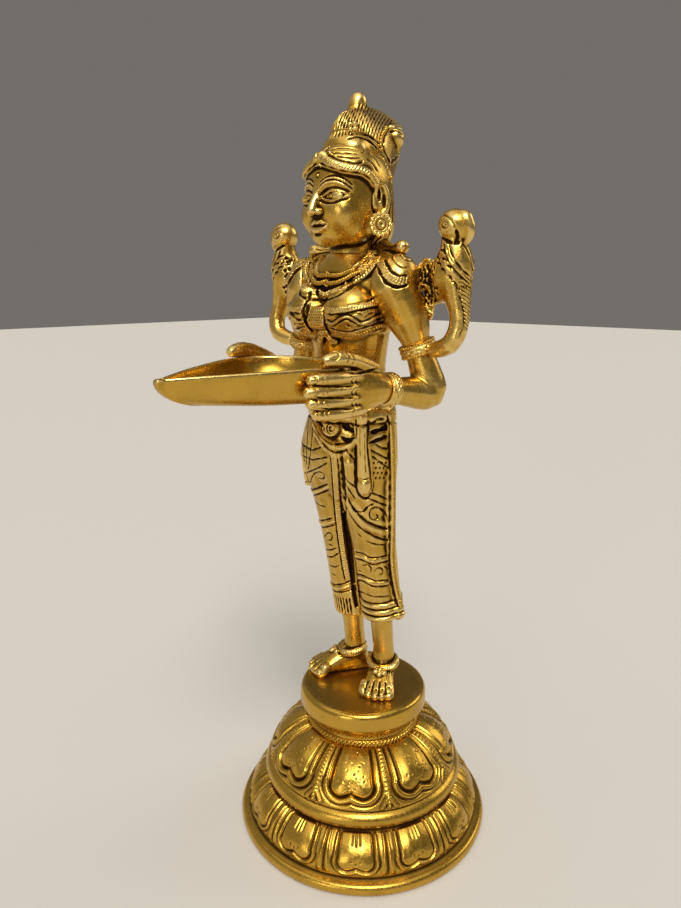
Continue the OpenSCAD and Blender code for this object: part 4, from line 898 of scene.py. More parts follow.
    # Folds that hang round the backs of both legs, and two lines round the hips
    for side in (-1, 1):
        for z0, fall in ((188, 5), (176, 7), (163, 8), (150, 8), (131, 4), (124, 4)):
            turns = np.linspace(2.35 if side > 0 else 1.75, 3.5, 36)
            fold = leg_line(clay, side, turns, z0 - fall * np.sin(1.5 * (turns - 1.75)))
            if len(fold) > 4:
                clay.tube(clay.settle(fold + [0, 0, 1.5], -0.5), 1.1, 0.9)
                clay.groove(clay.settle(fold), 0.55)
    for z in (198.4, 206.4):
        clay.groove(clay.girdle((-1.5, -8.8, z), np.linspace(0, 2 * np.pi, 130)), 0.5)
    return clay.mesh(name, 0.85)


# Rows of beads and twisted ropes noted while carving: path, directions out of the clay, and radius,
# gap in radii, slant and stretch of each bead
STRINGS = []
ROPE_GAP, ROPE_SLANT, ROPE_STRETCH = 1.75, 0.75, 2.1


def string_beads(path, radius, gap=2.0):
    """Notes a row of beads to be strung along a path; gap is in bead radii."""
    if len(path) > 1:
        STRINGS.append((np.asarray(path), np.tile(UP, (len(path), 1)), (radius, gap, 0.0, 1.0)))


def string_rope(clay, path, radius):
    """Notes a twisted rope to be laid on the clay along a path."""
    path = resample(path, 0.8)
    STRINGS.append((path, clay.slope(path, 1.2), (radius, ROPE_GAP, ROPE_SLANT, ROPE_STRETCH)))


FOOT_TURN = {1: math.radians(29), -1: math.radians(-38)}
ANKLE = {1: np.array([7.0, 7.0, SOLE_Z]), -1: np.array([-11.4, 7.0, SOLE_Z])}
TOE_TIPS, TOE_GAPS = (-6.9, -3.9, -0.6, 2.5, 5.6), (-5.6, -2.2, 1.0, 4.1)
ANKLET_TILT = math.radians(10)


def on_foot(side, points):
    """Places given from the ankle, toes towards -Y, turned out with the foot."""
    p = np.asarray(points, float)
    c, s = math.cos(FOOT_TURN[side]), math.sin(FOOT_TURN[side])
    return ANKLE[side] + np.stack([p[:, 0] * c - p[:, 1] * s, p[:, 0] * s + p[:, 1] * c, p[:, 2]], 1)


def carve_feet(name):
    """Bare feet with toes, nails and roped anklets."""
    clay = Clay.of_node("draped_legs", 0.3)
    part = clay.window((-40, -40, 60), (40, 40, 110))[0]
    clay.first = clay.first + np.array([s.start for s in part])
    clay.d = np.ascontiguousarray(clay.d[part])
    clay.soften(0.35)
    shin = [leg_axis(s, CUFF_Z) for s in (-1, 1)]

    def kept(x, y, z):
        """The feet and, inside the trousers, a round stump of each shin."""
        tube = np.minimum(*[np.hypot(x - a[0], y - a[1]) - 6.2 for a in shin])
        return np.maximum(np.where(z < 98, -5.0, tube), z - 107)

    clay.lay(lambda x, y, z: -kept(x, y, z), 0.2, True)
    above = 14
    for side in (-1, 1):
        far = 0.0 if side > 0 else 3.5
        tips = sorted(side * u for u in TOE_TIPS)
        for u in tips:
            big = 2.5 if abs(u) > 6.5 else 1.95
            toe = flowing(on_foot(side, [[u * 0.92, -12.5 - far, 4.0], [u, -16.3 - far + 0.06 * u * u, 2.5],
                                         [u, -18.3 - far + 0.07 * u * u, 1.85]]), 0.6)
            clay.tube(toe, np.linspace(big, big * 0.95, len(toe)), 0.7)
        for u in sorted(side * g for g in TOE_GAPS):
            top = on_foot(side, [[u * 0.85, -12.8 - far, above], [u * 0.9, -14.5 - far, above],
                                 [u, -16.8 - far, above], [u * 1.03, -19.2 - far, above]])
            clay.groove(clay.cast(flowing(top, 0.5), -UP), 0.45)
        a = np.linspace(0.15 * np.pi, 0.85 * np.pi, 12)
        for u in tips:
            nail = np.stack([u + 1.05 * np.cos(a), -18.2 - far + 0.07 * u * u + 1.5 * np.sin(a), 0 * a + above], 1)
            clay.groove(clay.cast(on_foot(side, nail), -UP), 0.3)
        shank = flowing([ANKLE[side] + [0, 0, 9], ANKLE[side] + [0, -0.2, 18], leg_axis(side, CUFF_Z)], 0.6)
        clay.tube(shank, tapered(shank, [0, 0.35, 1], [5.5, 4.8, 5.0]), 0.8)

        def hoop(r, low=0.0):
            a = np.linspace(0, 2 * np.pi, 90)
            c, s = math.cos(ANKLET_TILT), math.sin(ANKLET_TILT)
            return on_foot(side, np.stack([r * np.sin(a), -1.6 - c * r * np.cos(a), 11 - s * r * np.cos(a) + low], 1))

        clay.tube(hoop(6.1), 1.9, 0.3)
        for low in (-0.95, 0.95):
            hatch(clay, clay.settle(hoop(7.4, low)), 0.75, 1.25, 0.3, 0.7)
        clay.groove(clay.settle(hoop(8.0)), 0.35)
        front = on_foot(side, [[-2.0, -9.6, 9.0], [0, -10.4, 8.0], [2.0, -9.6, 9.0], [0, -9.8, 10.4]])
        clay.beads(clay.settle(front, 0.1), 1.35, 0.2)
        heel = on_foot(side, [[-5, -3, above], [-6.4, -9, above], [-7.6, -14, above]])
        clay.groove(clay.seen([(362, 692), (376, 696), (392, 692)]) if side > 0 else clay.cast(heel, -UP), 0.3)
    return clay.mesh(name)


def carve_torso(name):
    """Bare waist, bodice with its borders and knot, necklaces and shoulder locks."""
    clay = Clay.of_node("torso", 0.28)
    clay.soften(0.5)

    def cuts(r, *lines, gap=1.2):
        clay.chase(lines, r, gap, both_sides)

    for s in (-1, 1):
        clay.pill((s * 9.9, -20.6, 243.2), (9.6, 9.8, 10.2), 3.0)
        clay.lay(lambda x, y, z: np.maximum(264.8 - 0.35 * (s * x - 10) - z, 10.5 - s * x + 0 * y), 0.4, True)
        clay.pill((s * 17, -9.5, 257.5), (9.5, 9.0, 8.2), 3.0)
        clay.pill((s * 17.5, -5.5, 261.5), (9.5, 6.5, 6.0), 2.0)
        lock = flowing([(s * 7, 0.5, 270), (s * 13.5, -2.0, 267.6), (s * 19.5, -4.4, 267.0), (s * 24.0, -6.4, 268.4)])
        clay.tube(lock, np.linspace(3.6, 2.7, len(lock)), 0.6)
        for low in (0.0, 2.4):
            clay.groove(clay.settle(lock[:-4] + [0, -2.6, 1.6 - low]), 0.38)
        clay.groove(clay.settle(lock + [0, -3.0, -2.6]), 0.6)

    # Wide chased necklace that comes down to a point on the breast
    for path in both_sides(clay.seen([(324.5, 296), (333, 292), (343, 288), (359, 278), (372, 266), (377, 258)])):
        path = clay.settle(path)
        clay.strap(path, tapered(path, [0, 0.4], [1.0, 1.9]), 0.95, 0.3)
        hatch(clay, clay.settle(path), 1.4, 1.3, 0.33, 0.55)
    cuts(0.65, [(325, 290), (345, 283), (362, 273), (374, 258)],
         [(324, 301), (340, 294), (356, 284), (370, 275), (379, 262)])
    cuts(0.6, [(376, 276), (379, 270), (381, 263)])

    # Two roped strands above it
    for places in ([(316, 267), (320, 276), (328, 282.5), (338, 282.5), (353, 275), (365, 265), (373, 256)],
                   [(318, 263), (322, 270), (330, 275), (343, 274.5), (356, 267), (366, 258), (372, 249)]):
        path = clay.settle(clay.seen(places))
        half = path[path[:, 0] > 0]
        for strand in both_sides(half[np.argsort(half[:, 0])]):
            clay.groove(clay.settle(strand + [0, 0, -1.3]), 0.75)
            clay.tube(clay.settle(strand), 0.75, 0.2)
            string_rope(clay, clay.settle(strand, 0.35), 0.58)

    # Bodice: twisted upper border, wave with leaves, beaded lower border
    top = clay.seen([(327, 311), (342, 309.5), (362, 305.5), (384, 301), (390, 300)])
    wave = clay.seen([(327, 322), (333, 324), (340, 319), (347, 317), (354, 320), (361, 324), (370, 321),
                      (378, 316.5), (388, 315)])
    hem = clay.seen([(328, 333), (338, 336), (348, 337), (360, 334.5), (372, 329.5), (384, 325)])
    for path in both_sides(top):
        path = clay.settle(path)
        clay.strap(path, 1.35, 0.8, 0.25)
        hatch(clay, clay.settle(path), 1.15, 1.3, 0.33, 0.9)
    cuts(0.5, [(327, 307.5), (342, 306), (361, 302), (383, 297)],
         [(328, 314.5), (344, 313.5), (365, 309.5), (388, 305)],
         [(329, 328), (340, 331.5), (350, 332), (361, 329), (373, 325), (386, 321)])
    for path in both_sides(wave):
        clay.groove(clay.settle(path + UP), 0.42)
        clay.groove(clay.settle(path - UP), 0.42)
        clay.tube(clay.settle(path, 0.05), 0.6, 0.15)
    cuts(0.36, [(334, 318), (338, 315.5), (343, 315.5)], [(345, 323), (348, 326), (352, 326.5)],
         [(350, 315), (357, 313.5), (363, 315)], [(364, 318), (369, 314), (375, 313)],
         [(371, 325.5), (377, 321.5), (383, 319.5)], [(354, 327), (361, 327.5)], [(337, 326), (342, 327)],
         [(380, 311.5), (386, 310)], gap=0.8)
    for path in both_sides(hem):
        clay.groove(clay.settle(path - [0, 0, 1.1]), 0.5)
        string_beads(clay.settle(path, 0.1), 0.75, 1.6)

    # Knot between the breasts with its two ends
    def cushion(x, y, z):
        q = [np.abs(c - m) - h for c, m, h in zip((x, y, z), (-0.6, -26.9, 241.2), (3.1, 0.5, 2.1))]
        return np.sqrt(sum(np.clip(c, 0, None) ** 2 for c in q)) - 2.6

    clay.lay(cushion, 0.4)
    u, h = np.meshgrid(np.arange(-3.6, 3.7, 1.05), np.arange(-3.2, 3.3, 1.05))
    u = u + 0.45 * (np.arange(len(u)) % 2)[:, None]
    pits = np.stack([u.ravel() - 0.6, np.full(u.size, -45.0), 241.4 + h.ravel()], 1)
    clay.beads(clay.cast(pits, BACK), 0.4, 0.12, True)
    clay.pill((0.8, -26.4, 235.4), (3.0, 2.0, 1.8), 0.5)
    clay.beads(clay.cast([[u, -45.0, 235.3] for u in (-0.8, 0.8, 2.4)], BACK), 0.5, 0.15, True)
    for s in (-1, 1):
        end = flowing([(s * 1.4 + 0.6, -26.4, 235.0), (s * 2.6 + 0.8, -25.8, 233.2),
                       (s * 4.0 + 0.8, -24.6, 232.0)], 0.4)
        clay.tube(end, np.linspace(1.1, 1.3, len(end)), 0.4)
        clay.groove(clay.settle(end + [0, -1.2, 0]), 0.35)
        edge = flowing([(s * 6.3 - 0.6, -24.6, 245.6), (s * 6.6 - 0.6, -24.6, 241.5),
                        (s * 6.3 - 0.6, -24.6, 237.0)], 0.4)
        clay.groove(clay.settle(edge), 0.6)
    for s in (-1, 1):
        cleft = clay.cast([(s * 1.0, -60.0, 247.0), (s * 3.2, -60.0, 250.5), (s * 5.6, -60.0, 254.0)], BACK)
        clay.groove(resample(cleft, 0.5), 0.6)

    # Belly: navel and the soft creases above the belt
    clay.beads(clay.cast([0.3, -50, 221.0], BACK), 0.95, 0.6, True)
    for z, r in ((213.2, 0.9), (215.6, 0.6)):
        clay.tube(clay.girdle((0, -9.6, z), np.linspace(0, 2 * np.pi, 120)), r, 0.4)

    # Back of the bodice with its tie, and the line of the spine
    a = np.linspace(0.6 * np.pi, 1.4 * np.pi, 60)
    for z in (236.0, 246.0):
        clay.groove(clay.girdle((0, -10.5, z), a), 0.45)
    hatch(clay, clay.girdle((0, -10.5, 244.6), a), 1.0, 1.3, 0.3, 0.8)
    spine = clay.cast(np.stack([np.zeros(30), np.full(30, 40.0), np.linspace(216, 258, 30)], 1), -BACK)
    clay.tube(clay.settle(spine, 1.7), 2.3, 1.6, True)
    bow = clay.cast([0, 40.0, 241.0], -BACK)[0]
    for s in (-1, 1):
        loop = [bow, bow + [s * 3.5, 0.6, 2.0], bow + [s * 4.6, 0.4, 0.2], bow + [s * 2.4, 0.5, -1.2], bow]
        clay.tube(flowing(loop), 0.9, 0.3)
        clay.tube(flowing([bow, bow + [s * 1.6, 0.6, -4], bow + [s * 2.6, 0.3, -9]]), 1.0, 0.3)
    clay.pill(bow, (1.9, 1.6, 1.9), 0.3)
    return clay.mesh(name, 0.75)


# Where the ears sit and the way that they and their ornaments face, on her left
EAR = np.array((14.6, -10.4, 282.8))
OUT_OF_EAR = np.array((math.cos(math.radians(30)), -math.sin(math.radians(30)), 0))
BACK_OF_EAR = np.array((math.sin(math.radians(30)), math.cos(math.radians(30)), 0))


def carve_head(name):
    """Head on plain thirds: hairline, brow, nose and chin evenly spaced, large calm almond eyes."""
    clay = Clay((-22, -38, 260), (22, 16, 312.5), 0.3)
    clay.lay(egg((0, -11.8, 291.0), (15.4, 17.6, 16.6)), 0.5)
    clay.lay(egg((0, -15.2, 280.6), (12.8, 13.8, 11.4)), 7.0)
    for s in (-1, 1):
        clay.pill((s * 6.6, -15.6, 275.4), (6.2, 8.0, 5.0), 3.5)
    clay.lay(lambda x, y, z: np.maximum(np.hypot(x, y + 10.0) - 8.2 + 0 * z, 264.5 - z), 0.8)

    def face(points, gap=0.4):
        """Line on the front of the head through places across and up."""
        p = flowing(points, gap) if gap else np.asarray(points, float)
        return clay.cast(np.stack([p[:, 0], np.full(len(p), -60.0), p[:, 1]], 1), BACK)

    def pair(points, gap=0.4):
        return both_sides(face(points, gap))

    def faded(path, r, first, last, ends):
        """Radius along a line that thins out over its first and last points."""
        n = len(path)
        return r * np.interp(np.arange(n), [0, first, n - last, n - 1], [ends[0], 1, 1, ends[1]])

    def circle(x, z, r, steps):
        a = np.linspace(0, 2 * np.pi, steps)
        return np.stack([x + r * np.cos(a), z + r * np.sin(a)], 1)

    # Chin, cheeks, hollows of the eyes and nose
    clay.pill((0, -24.4, 272.8), (5.2, 3.8, 3.8), 5.0)
    for s in (-1, 1):
        clay.pill((s * 7.2, -23.6, 280.6), (5.0, 4.4, 5.4), 3.5)
        clay.pill((s * 6.2, -29.4, 287.0), (4.4, 1.8, 2.7), 1.6, True)
    nose = flowing([(0, -28.2, 291.5), (0, -29.6, 287.5), (0, -31.6, 283.6), (0, -32.4, 281.6)], 0.4)
    clay.tube(nose, np.linspace(1.0, 1.9, len(nose)), 1.4)
    for s in (-1, 1):
        clay.pill((s * 1.9, -30.4, 281.4), (1.5, 1.7, 1.35), 0.7)
        clay.beads(np.array([[s * 1.15, -31.6, 280.0]]), 0.55, 0.3, True)

    # Eyes with their lids, irises and brows
    for eye in pair([(6.2, 287.0)], 0):
        clay.pill(eye[0] + [0, 0.9, 0], (4.6, 1.8, 1.9), 0.4)
    u = np.linspace(-1, 1, 9)
    upper = np.stack([6.8 + 5.2 * u, 286.8 + 2.1 * (1 - u ** 2) + 0.3 * u], 1)
    lower = np.stack([6.8 + 5.2 * u, 286.8 - 1.6 * (1 - u ** 2) + 0.3 * u], 1)
    for line, r in ((upper, 0.5), (lower, 0.42)):
        for path in pair(line):
            clay.tube(path, faded(path, r, 4, 5, (0.4, 0.4)), 0.15)
    for line, r in ((upper + [0, 1.05], 0.4), (lower + [0, -0.95], 0.38)):
        for path in pair(line):
            clay.groove(path, r)
    for path in pair(circle(6.0, 287.0, 1.0, 22), 0.3):
        clay.groove(path, 0.27, False)
    for path in pair([(6.0, 287.0)], 0):
        clay.beads(path, 0.3, 0.1, True)
    for lift, r in ((0.0, 0.55), (1.5, 0.42)):
        brow = [(x, z + lift) for x, z in ((1.5, 289.7), (4.2, 291.5), (7.6, 291.8), (10.6, 290.4), (12.6, 288.4))]
        for path in pair(brow):
            clay.tube(path, faded(path, r, 5, 9, (0.5, 0.3)), 0.25)
        for path in pair([(x, z + 0.8) for x, z in brow]):
            clay.groove(path, 0.32)

    # Mouth, and the mark on the forehead
    for path in pair([(0.0, 277.3), (1.3, 277.8), (2.8, 277.2), (4.3, 276.7)]):
        clay.tube(path, np.linspace(0.95, 0.45, len(path)), 0.5)
    lip = face([(-3.4, 275.7), (-1.6, 274.9), (0, 274.7), (1.6, 274.9), (3.4, 275.7)])
    clay.tube(clay.settle(lip, -0.1), 1.05, 0.6)
    clay.groove(clay.settle(face([(-4.7, 276.9), (-2.4, 276.2), (0, 276.35), (2.4, 276.2), (4.7, 276.9)])), 0.42)
    clay.groove(face([(-2.2, 273.2), (0, 272.9), (2.2, 273.2)]), 0.5)
    clay.groove(face([(0, 279.6), (0, 278.3)], 0.3), 0.3)
    clay.groove(face(circle(0, 294.8, 0.9, 20), 0.3), 0.28)
    clay.beads(face([(0, 294.8)], 0), 0.42, 0.15)

    # Hair: cap with a middle part, a mass that hangs behind the neck
    def cap(x, y, z):
        line = 298.3 - 0.28 * np.sqrt(x * x + 1.0) - 0.5 * np.clip(y + 19, 0, 4) - 3.0 * np.clip(y + 15, 0, 12)
        return np.maximum(egg((0, -11.3, 291.4), (17.0, 19.3, 17.6))(x, y, z), (line - z) * 0.75)

    def cuts(r, *lines):
        clay.chase(lines, r, copies=both_sides)

    clay.lay(cap, 0.5)
    clay.pill((0, 0.5, 280.0), (13.4, 7.2, 15.5), 3.5)
    roll = clay.seen([(317, 156), (323, 158.5), (334, 164), (347, 168), (360, 169.5), (370, 175), (376, 183)])
    for path in [clay.settle(p) for p in both_sides(roll)]:
        clay.tube(clay.settle(path, -0.7), 1.9, 1.0)
    cuts(0.6, [(319, 163), (332, 169), (346, 172.5), (360, 174), (369, 179), (374, 186)],
         [(326, 150), (330, 155), (338, 159.5), (347, 162), (356, 163.5), (363, 161)])
    cuts(0.36, [(328, 146.5), (338, 144), (348, 143), (357, 144), (364, 149), (362, 153)],
         [(329, 150), (338, 148), (349, 148), (358, 150)], [(331, 153), (340, 152.5), (350, 153), (359, 154)],
         [(335, 156), (344, 157), (354, 158), (361, 158)], [(337, 141), (347, 140), (357, 141), (365, 145)],
         [(358, 165.5), (366, 165), (373, 170)], [(366, 158), (372, 163), (378, 172)],
         [(368, 151), (375, 158), (381, 168)])
    for path in both_sides(clay.seen([(324, 159.5), (340, 165.5), (358, 169), (370, 174.5), (377, 182)])):
        hatch(clay, clay.settle(path), 1.0, 1.2, 0.26, 0.7)
    tilt = np.linspace(0.5, 1.2, 24)
    ray = np.stack([0 * tilt, np.cos(tilt), -np.sin(tilt)], 1)
    clay.groove(clay.cast(np.stack([0 * tilt, -11 - 40 * np.cos(tilt), 291 + 40 * np.sin(tilt)], 1), ray), 0.75)
    for path in both_sides(clay.seen([(378, 150), (383, 158), (388, 168), (390.5, 178)])):
        path = clay.settle(path)
        clay.groove(path, 0.9)
        string_beads(clay.settle(path, 0.35), 0.85)
    z = np.linspace(302, 268, 44)[:, None]
    for turn in np.arange(105, 256, 7.5):
        t = math.radians(turn)
        out = np.array([math.sin(t), -math.cos(t), 0])
        clay.groove(clay.cast(np.array([0, -7.0, 0]) + out * 30 + z * UP, -out), 0.4)

    # Ears, long, with two cut hollows
    for s in (-1, 1):
        out, back = OUT_OF_EAR * [s, 1, 1], BACK_OF_EAR * [s, 1, 1]
        middle, turn = np.array((s * 15.6, -10.4, 286.3)), np.stack([out, back, UP], 1)
        clay.pill(middle, (1.9, 3.4, 5.8), 0.6, False, turn)
        a = np.radians(np.linspace(-75, 215, 40))[:, None]
        clay.tube(middle + 1.2 * out + 2.8 * np.cos(a) * back + 5.2 * np.sin(a) * UP, 0.95, 0.3)
        for along, rise_by, tall in ((-0.9, 1.4, 2.5), (1.2, -0.6, 3.1)):
            clay.pill(middle + 2.2 * out + along * back + rise_by * UP, (1.7, 0.8, tall), 0.3, True, turn)
    return clay.mesh(name)


def carve_topknot(name):
    """Crest of ribbed hair with its knob in front and a pear-shaped ornament on each side behind."""
    clay = Clay.of_node("topknot", 0.22, 3.0)
    clay.soften(0.6)
    clay.pill((0, -14.2, 304.8), (10.6, 7.2, 6.6), 2.5)
    clay.pill((0, -8.6, 312.4), (8.7, 8.4, 8.2), 2.0)
    clay.pill((0, -6.2, 321.6), (3.5, 4.0, 4.4), 1.5)

    def cuts(r, *lines):
        clay.chase(lines, r, copies=both_sides)

    # Ribs of the crest and pleats in front of it: how many, their first foot and tip, the steps from one
    # to the next, how far they bow and how deep they are
    for count, foot, foot_step, tip, tip_step, bow, r in (
            (12, (352, 133.5), (2.75, 0.7), (361.5, 101.5), (2.85, 1.6), (-1.6, -0.6), 0.36),
            (5, (334.5, 138), (3.6, -0.8), (344, 111.5), (3.0, -1.0), (-1.2, -0.4), 0.42)):
        for k in range(count):
            low, high = np.array(foot) + np.array(foot_step) * k, np.array(tip) + np.array(tip_step) * k
            for path in both_sides(clay.seen([low, (low + high) / 2 + bow, high])):
                clay.groove(path, r)
    clay.beads(clay.seen([(350, 124.5), (354.5, 124), (350.5, 129.5), (355, 129)], 0), 1.0, 0.3)
    cuts(0.55, [(347, 139), (359, 137), (370, 141.5), (378, 149)], [(350, 134.5), (360, 133.5), (371, 137), (380, 144)])

    # Pear with its rolled lip, the beaded strip beside it and combed hair behind and below
    cuts(0.8, [(390, 126), (385.5, 133), (383.5, 142), (385, 151), (391, 163)])
    cuts(0.7, [(391, 163), (399, 156), (404.5, 146), (406.5, 136)])
    cuts(0.5, [(390, 132), (397, 130.5), (403, 135)])
    for path in both_sides(clay.seen([(389.5, 128.5), (396, 126.5), (403, 129.5), (406, 134)])):
        clay.tube(clay.settle(path, 0.1), 1.1, 0.4)
    for path in both_sides(clay.seen([(386, 128), (382, 135), (380, 143), (381, 150)])):
        string_beads(clay.settle(path, 0.2), 0.85, 1.8)
    tilt = math.radians(36)
    lean, back = np.array((0, math.sin(tilt), math.cos(tilt))), np.array((0, math.cos(tilt), -math.sin(tilt)))
    for turn in np.radians(np.arange(-35, 36, 7.0)):
        out = math.cos(turn) * back + np.array((math.sin(turn), 0, 0))
        up = np.linspace(1.0, 26.0 - 9 * abs(turn), 40)[:, None]
        clay.groove(clay.cast(np.array((0, -3, 297.5)) + lean * up + out * 40, -out), 0.42)
    return clay.mesh(name, 0.85)


def carve_upper_arm(name):
    """Her left upper arm with the chased leaf of the shoulder cape."""
    clay = Clay.of_node("left_upper_arm", 0.3, 4.0)
    clay.soften(0.7)
    clay.pill((24.6, -9.4, 256.6), (8.4, 8.8, 9.2), 2.0)
    leaf = clay.seen([(379, 256), (382.5, 267), (388, 276.5), (397, 281), (407, 280)])
    clay.strap(leaf, 1.6, 0.8, 0.3)
    hatch(clay, clay.settle(leaf), 1.2, 1.35, 0.33, 0.4)
    clay.chase(([(383, 254), (387, 265), (392, 272), (399, 276), (408, 275)],
                [(376, 262), (381, 275), (388, 284), (398, 287), (408, 284.5)]), 0.7)
    clay.chase(([(389, 251), (394, 261), (401, 267), (409, 268)],
                [(396, 249), (401, 256), (407, 260), (413, 260)]), 0.3)
    return clay.mesh(name)


def carve_forearm(name):
    """Her left forearm, plain and smooth."""
    clay = Clay.of_node("left_forearm", 0.4)
    clay.soften(0.7)
    return clay.mesh(name)


def carve_hand(name):
    """Four full fingers that lie close along the dish, the thumb over its rim."""
    clay = Clay.of_node("left_hand", 0.3)
    clay.soften(0.4)
    for k, short in enumerate((1.5, 0.0, 1.0, 4.0)):
        z = 221.45 - 4.21 * k
        finger = flowing([(29.2, -35, z), (29.3, -42, z), (29.2, -49, z), (27.4, -58.5 + short, z),
                          (26.4, -61.0 + short, z)])
        clay.tube(finger, tapered(finger, [0, 0.3, 0.85, 1], [2.0, 2.5, 2.4, 2.0]), 0.9)
    dish = Clay.of_node("lamp_dish", 0.5)

    def in_dish(x, y, z):
        grid = np.stack([g.ravel() for g in np.broadcast_arrays(x, y, z)], 1)
        return dish.at(grid).reshape(np.broadcast_shapes(x.shape, y.shape, z.shape)) - 0.1

    clay.lay(in_dish, 0.1, True)

    # Lines between the fingers, joints and nails of each, thumb nail and joints, edge of the palm
    for y in (386.5, 398.2, 409.2):
        clay.chase([[(354, y - 0.5), (345, y), (330, y), (318, y - 0.5), (312, y - 1)]], 0.32)
    for y in (381, 392.5, 403.5, 414):
        clay.chase([[(354.5, y - 4), (352, y), (353.5, y + 4)]], 0.28, 0.7)
        clay.chase([[(358.5, y - 4), (356, y), (357.5, y + 4)]], 0.22, 0.7)
        clay.chase([[(x, y - 3.5), (x - 1.5, y), (x, y + 3.5)] for x in (329, 324.5)], 0.26, 0.7)
        clay.chase([[(313, y - 3), (316, y - 3.4), (318, y), (316, y + 3.4), (313, y + 3)]], 0.32, 0.6)
    clay.chase([[(329, 353.5), (335, 351.5), (340, 355), (336, 359.5), (330, 359)]], 0.36, 0.7)
    clay.chase([[(347, 352), (349, 358), (347, 364)]], 0.3, 0.7)
    clay.chase([[(352, 354), (354, 360), (352, 366)]], 0.26, 0.7)
    clay.chase([[(343, 371), (356, 373), (369, 371), (377, 368)]], 0.5)
    return clay.mesh(name)


def web_painted_shadow(v):
    """Painted shadow on the web between a parrot and the shoulder."""
    return 0.62 * rise(39.0 - np.abs(v[:, 0]), 0.0, 2.5) * rise(v[:, 2], 236.0, 241.0)


def carve_parrot(name):
    """Parrot at her left shoulder that looks outwards: hooked beak, folded wings, barred tail, rough casting web."""
    clay = Clay.of_node("left_parrot", 0.3, 3.0)
    clay.soften(0.5)
    head = np.array([46.1, -3.5, 275.5])
    clay.lay(lambda x, y, z: np.maximum(y + 8.7 + 0 * x, 268 - z), 0.3, True)
    clay.pill(head, (6.0, 6.0, 6.0), 0.5)
    clay.pill(head + [3.0, 0, -0.2], (4.6, 4.0, 5.8), 0.5)
    beak = flowing([head + [4.6, 0, 2.0], head + [6.6, 0, -1.2], head + [6.4, 0, -4.4], head + [4.6, 0, -6.8]], 0.4)
    clay.tube(beak, np.linspace(2.8, 0.9, len(beak)), 0.7)
    clay.pill((42.6, -3.0, 257.5), (5.4, 6.4, 10.0), 2.0)

    def flanks(path):
        """The path on the near flank and, where it is out of sight of it, on the far one."""
        far = path * [1, -1, 1] + [0, -6.4, 0]
        return [path, far[far[:, 1] > -1.6]]

    def marks(r, *lines, gap=0.8):
        clay.chase(lines, r, gap, flanks)

    # Eye, beak and throat
    a = np.linspace(0, 2 * np.pi, 16)
    marks(0.34, np.stack([444.5 + 3.0 * np.cos(a), 224.5 + 3.2 * np.sin(a)], 1))
    for path in flanks(clay.seen([(444.5, 224.5)], 0)):
        clay.beads(clay.settle(path), 0.5, 0.1, True)
    marks(0.3, [(443, 214), (449, 218.5), (455, 226), (457, 232)])
    marks(0.75, [(456, 230), (457.5, 237), (456, 243)])
    marks(0.3, [(450.5, 229), (451, 232.5)], gap=0.6)
    marks(0.7, [(440, 236), (446, 240.5), (454, 243), (461, 241.5)])

    # Wing with its feathers, breast and barred tail
    marks(0.45, [(443.5, 242), (445, 254), (451, 266), (462, 277), (468, 282)],
          [(448.5, 244), (452.5, 256), (462, 269), (471, 277)])
    marks(0.3, [(446.5, 247), (450, 258), (457, 268)])
    feathers = ((434.5, 242), (433.5, 249), (434, 256), (436, 262.5), (440, 269), (446, 275.5), (451.5, 281.5),
                (440, 249.5), (441, 258), (445.5, 265.5))
    marks(0.52, *[[(x, y), (x + 3.5, y + 1.0), (x + 5.5, y + 5.0)] for x, y in feathers])
    marks(0.4, *[[(457 + 2.4 * k, 285 - 0.4 * k), (457.5 + 2.4 * k, 292 - 0.4 * k)] for k in range(6)])
    marks(0.35, [(462, 243), (468, 252), (472, 264), (474, 276)])
    z = np.linspace(257, 238, 40)
    hatch(clay, clay.cast(np.stack([0 * z + 80, 0 * z - 4.2, z], 1), -LEFT), 2.6, 1.5, 0.28, 0.5)
    marks(0.35, [(459, 294), (463, 308), (464, 324), (459, 337)])

    # Web left rough from the mould
    rng = np.random.default_rng(17)
    clay.pill((34.6, -3.6, 259.6), (5.0, 1.6, 4.6), 1.0)
    clay.pill((35.6, -3.6, 246.5), (2.8, 1.5, 6.5), 1.0)
    x, z = rng.uniform(31, 42.5, 260), rng.uniform(240, 266, 260)
    for s in (-1, 1):
        pits = clay.cast(np.stack([x, 0 * x - 3 - s * 20, z], 1), s * BACK)
        sizes = rng.uniform(0.4, 0.9, len(pits))
        pits = pits[np.abs(pits[:, 1] + 3) < 6]
        clay.beads(pits, sizes[:len(pits)], 0.3, True)
    # The web is darkened with painted shadow
    return clay.mesh(name, shadow_paint=web_painted_shadow)


def carve_band(name, node, zigzag, beaded=()):
    """Chased band round an arm: zigzag cuts between two rolled edges, rows of beads at shares of its width."""
    clay = Clay.of_node(node, 0.22, 2.0)
    clay.soften(0.25)
    v = np.unique(np.round(mesh_points(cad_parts[node].data), 3), axis=0)
    centre = (v.max(0) + v.min(0)) / 2
    axes = np.linalg.eigh(np.cov((v - v.mean(0)).T))[1]
    widths = [np.ptp(v @ axes[:, k]) for k in range(3)]
    thin = int(np.argmin(widths))
    axis, wide = axes[:, thin] * np.sign(axes[2, thin] + 1e-6), widths[thin]
    u = np.cross(axis, (1, 0, 0))
    u /= np.linalg.norm(u)
    w = np.cross(axis, u)
    a = np.linspace(0, 2 * np.pi, 121)
    out = np.cos(a)[:, None] * u + np.sin(a)[:, None] * w

    def hoop(height):
        return clay.cast(centre + axis * np.broadcast_to(height, a.shape)[:, None] + out * 14, -out)

    for s in (-1, 1):
        clay.groove(hoop(s * wide * 0.29), 0.32)
    for phase in (0.0, np.pi):
        saw = np.abs(((a * zigzag + phase) / np.pi) % 2 - 1) * 2 - 1
        clay.groove(hoop(saw * wide * 0.2), 0.26)
    for share in beaded:
        for path in both_sides(clay.settle(hoop(share * wide), 0.05)):
            string_beads(path, 0.55, 2.1)
    return clay.mesh(name)


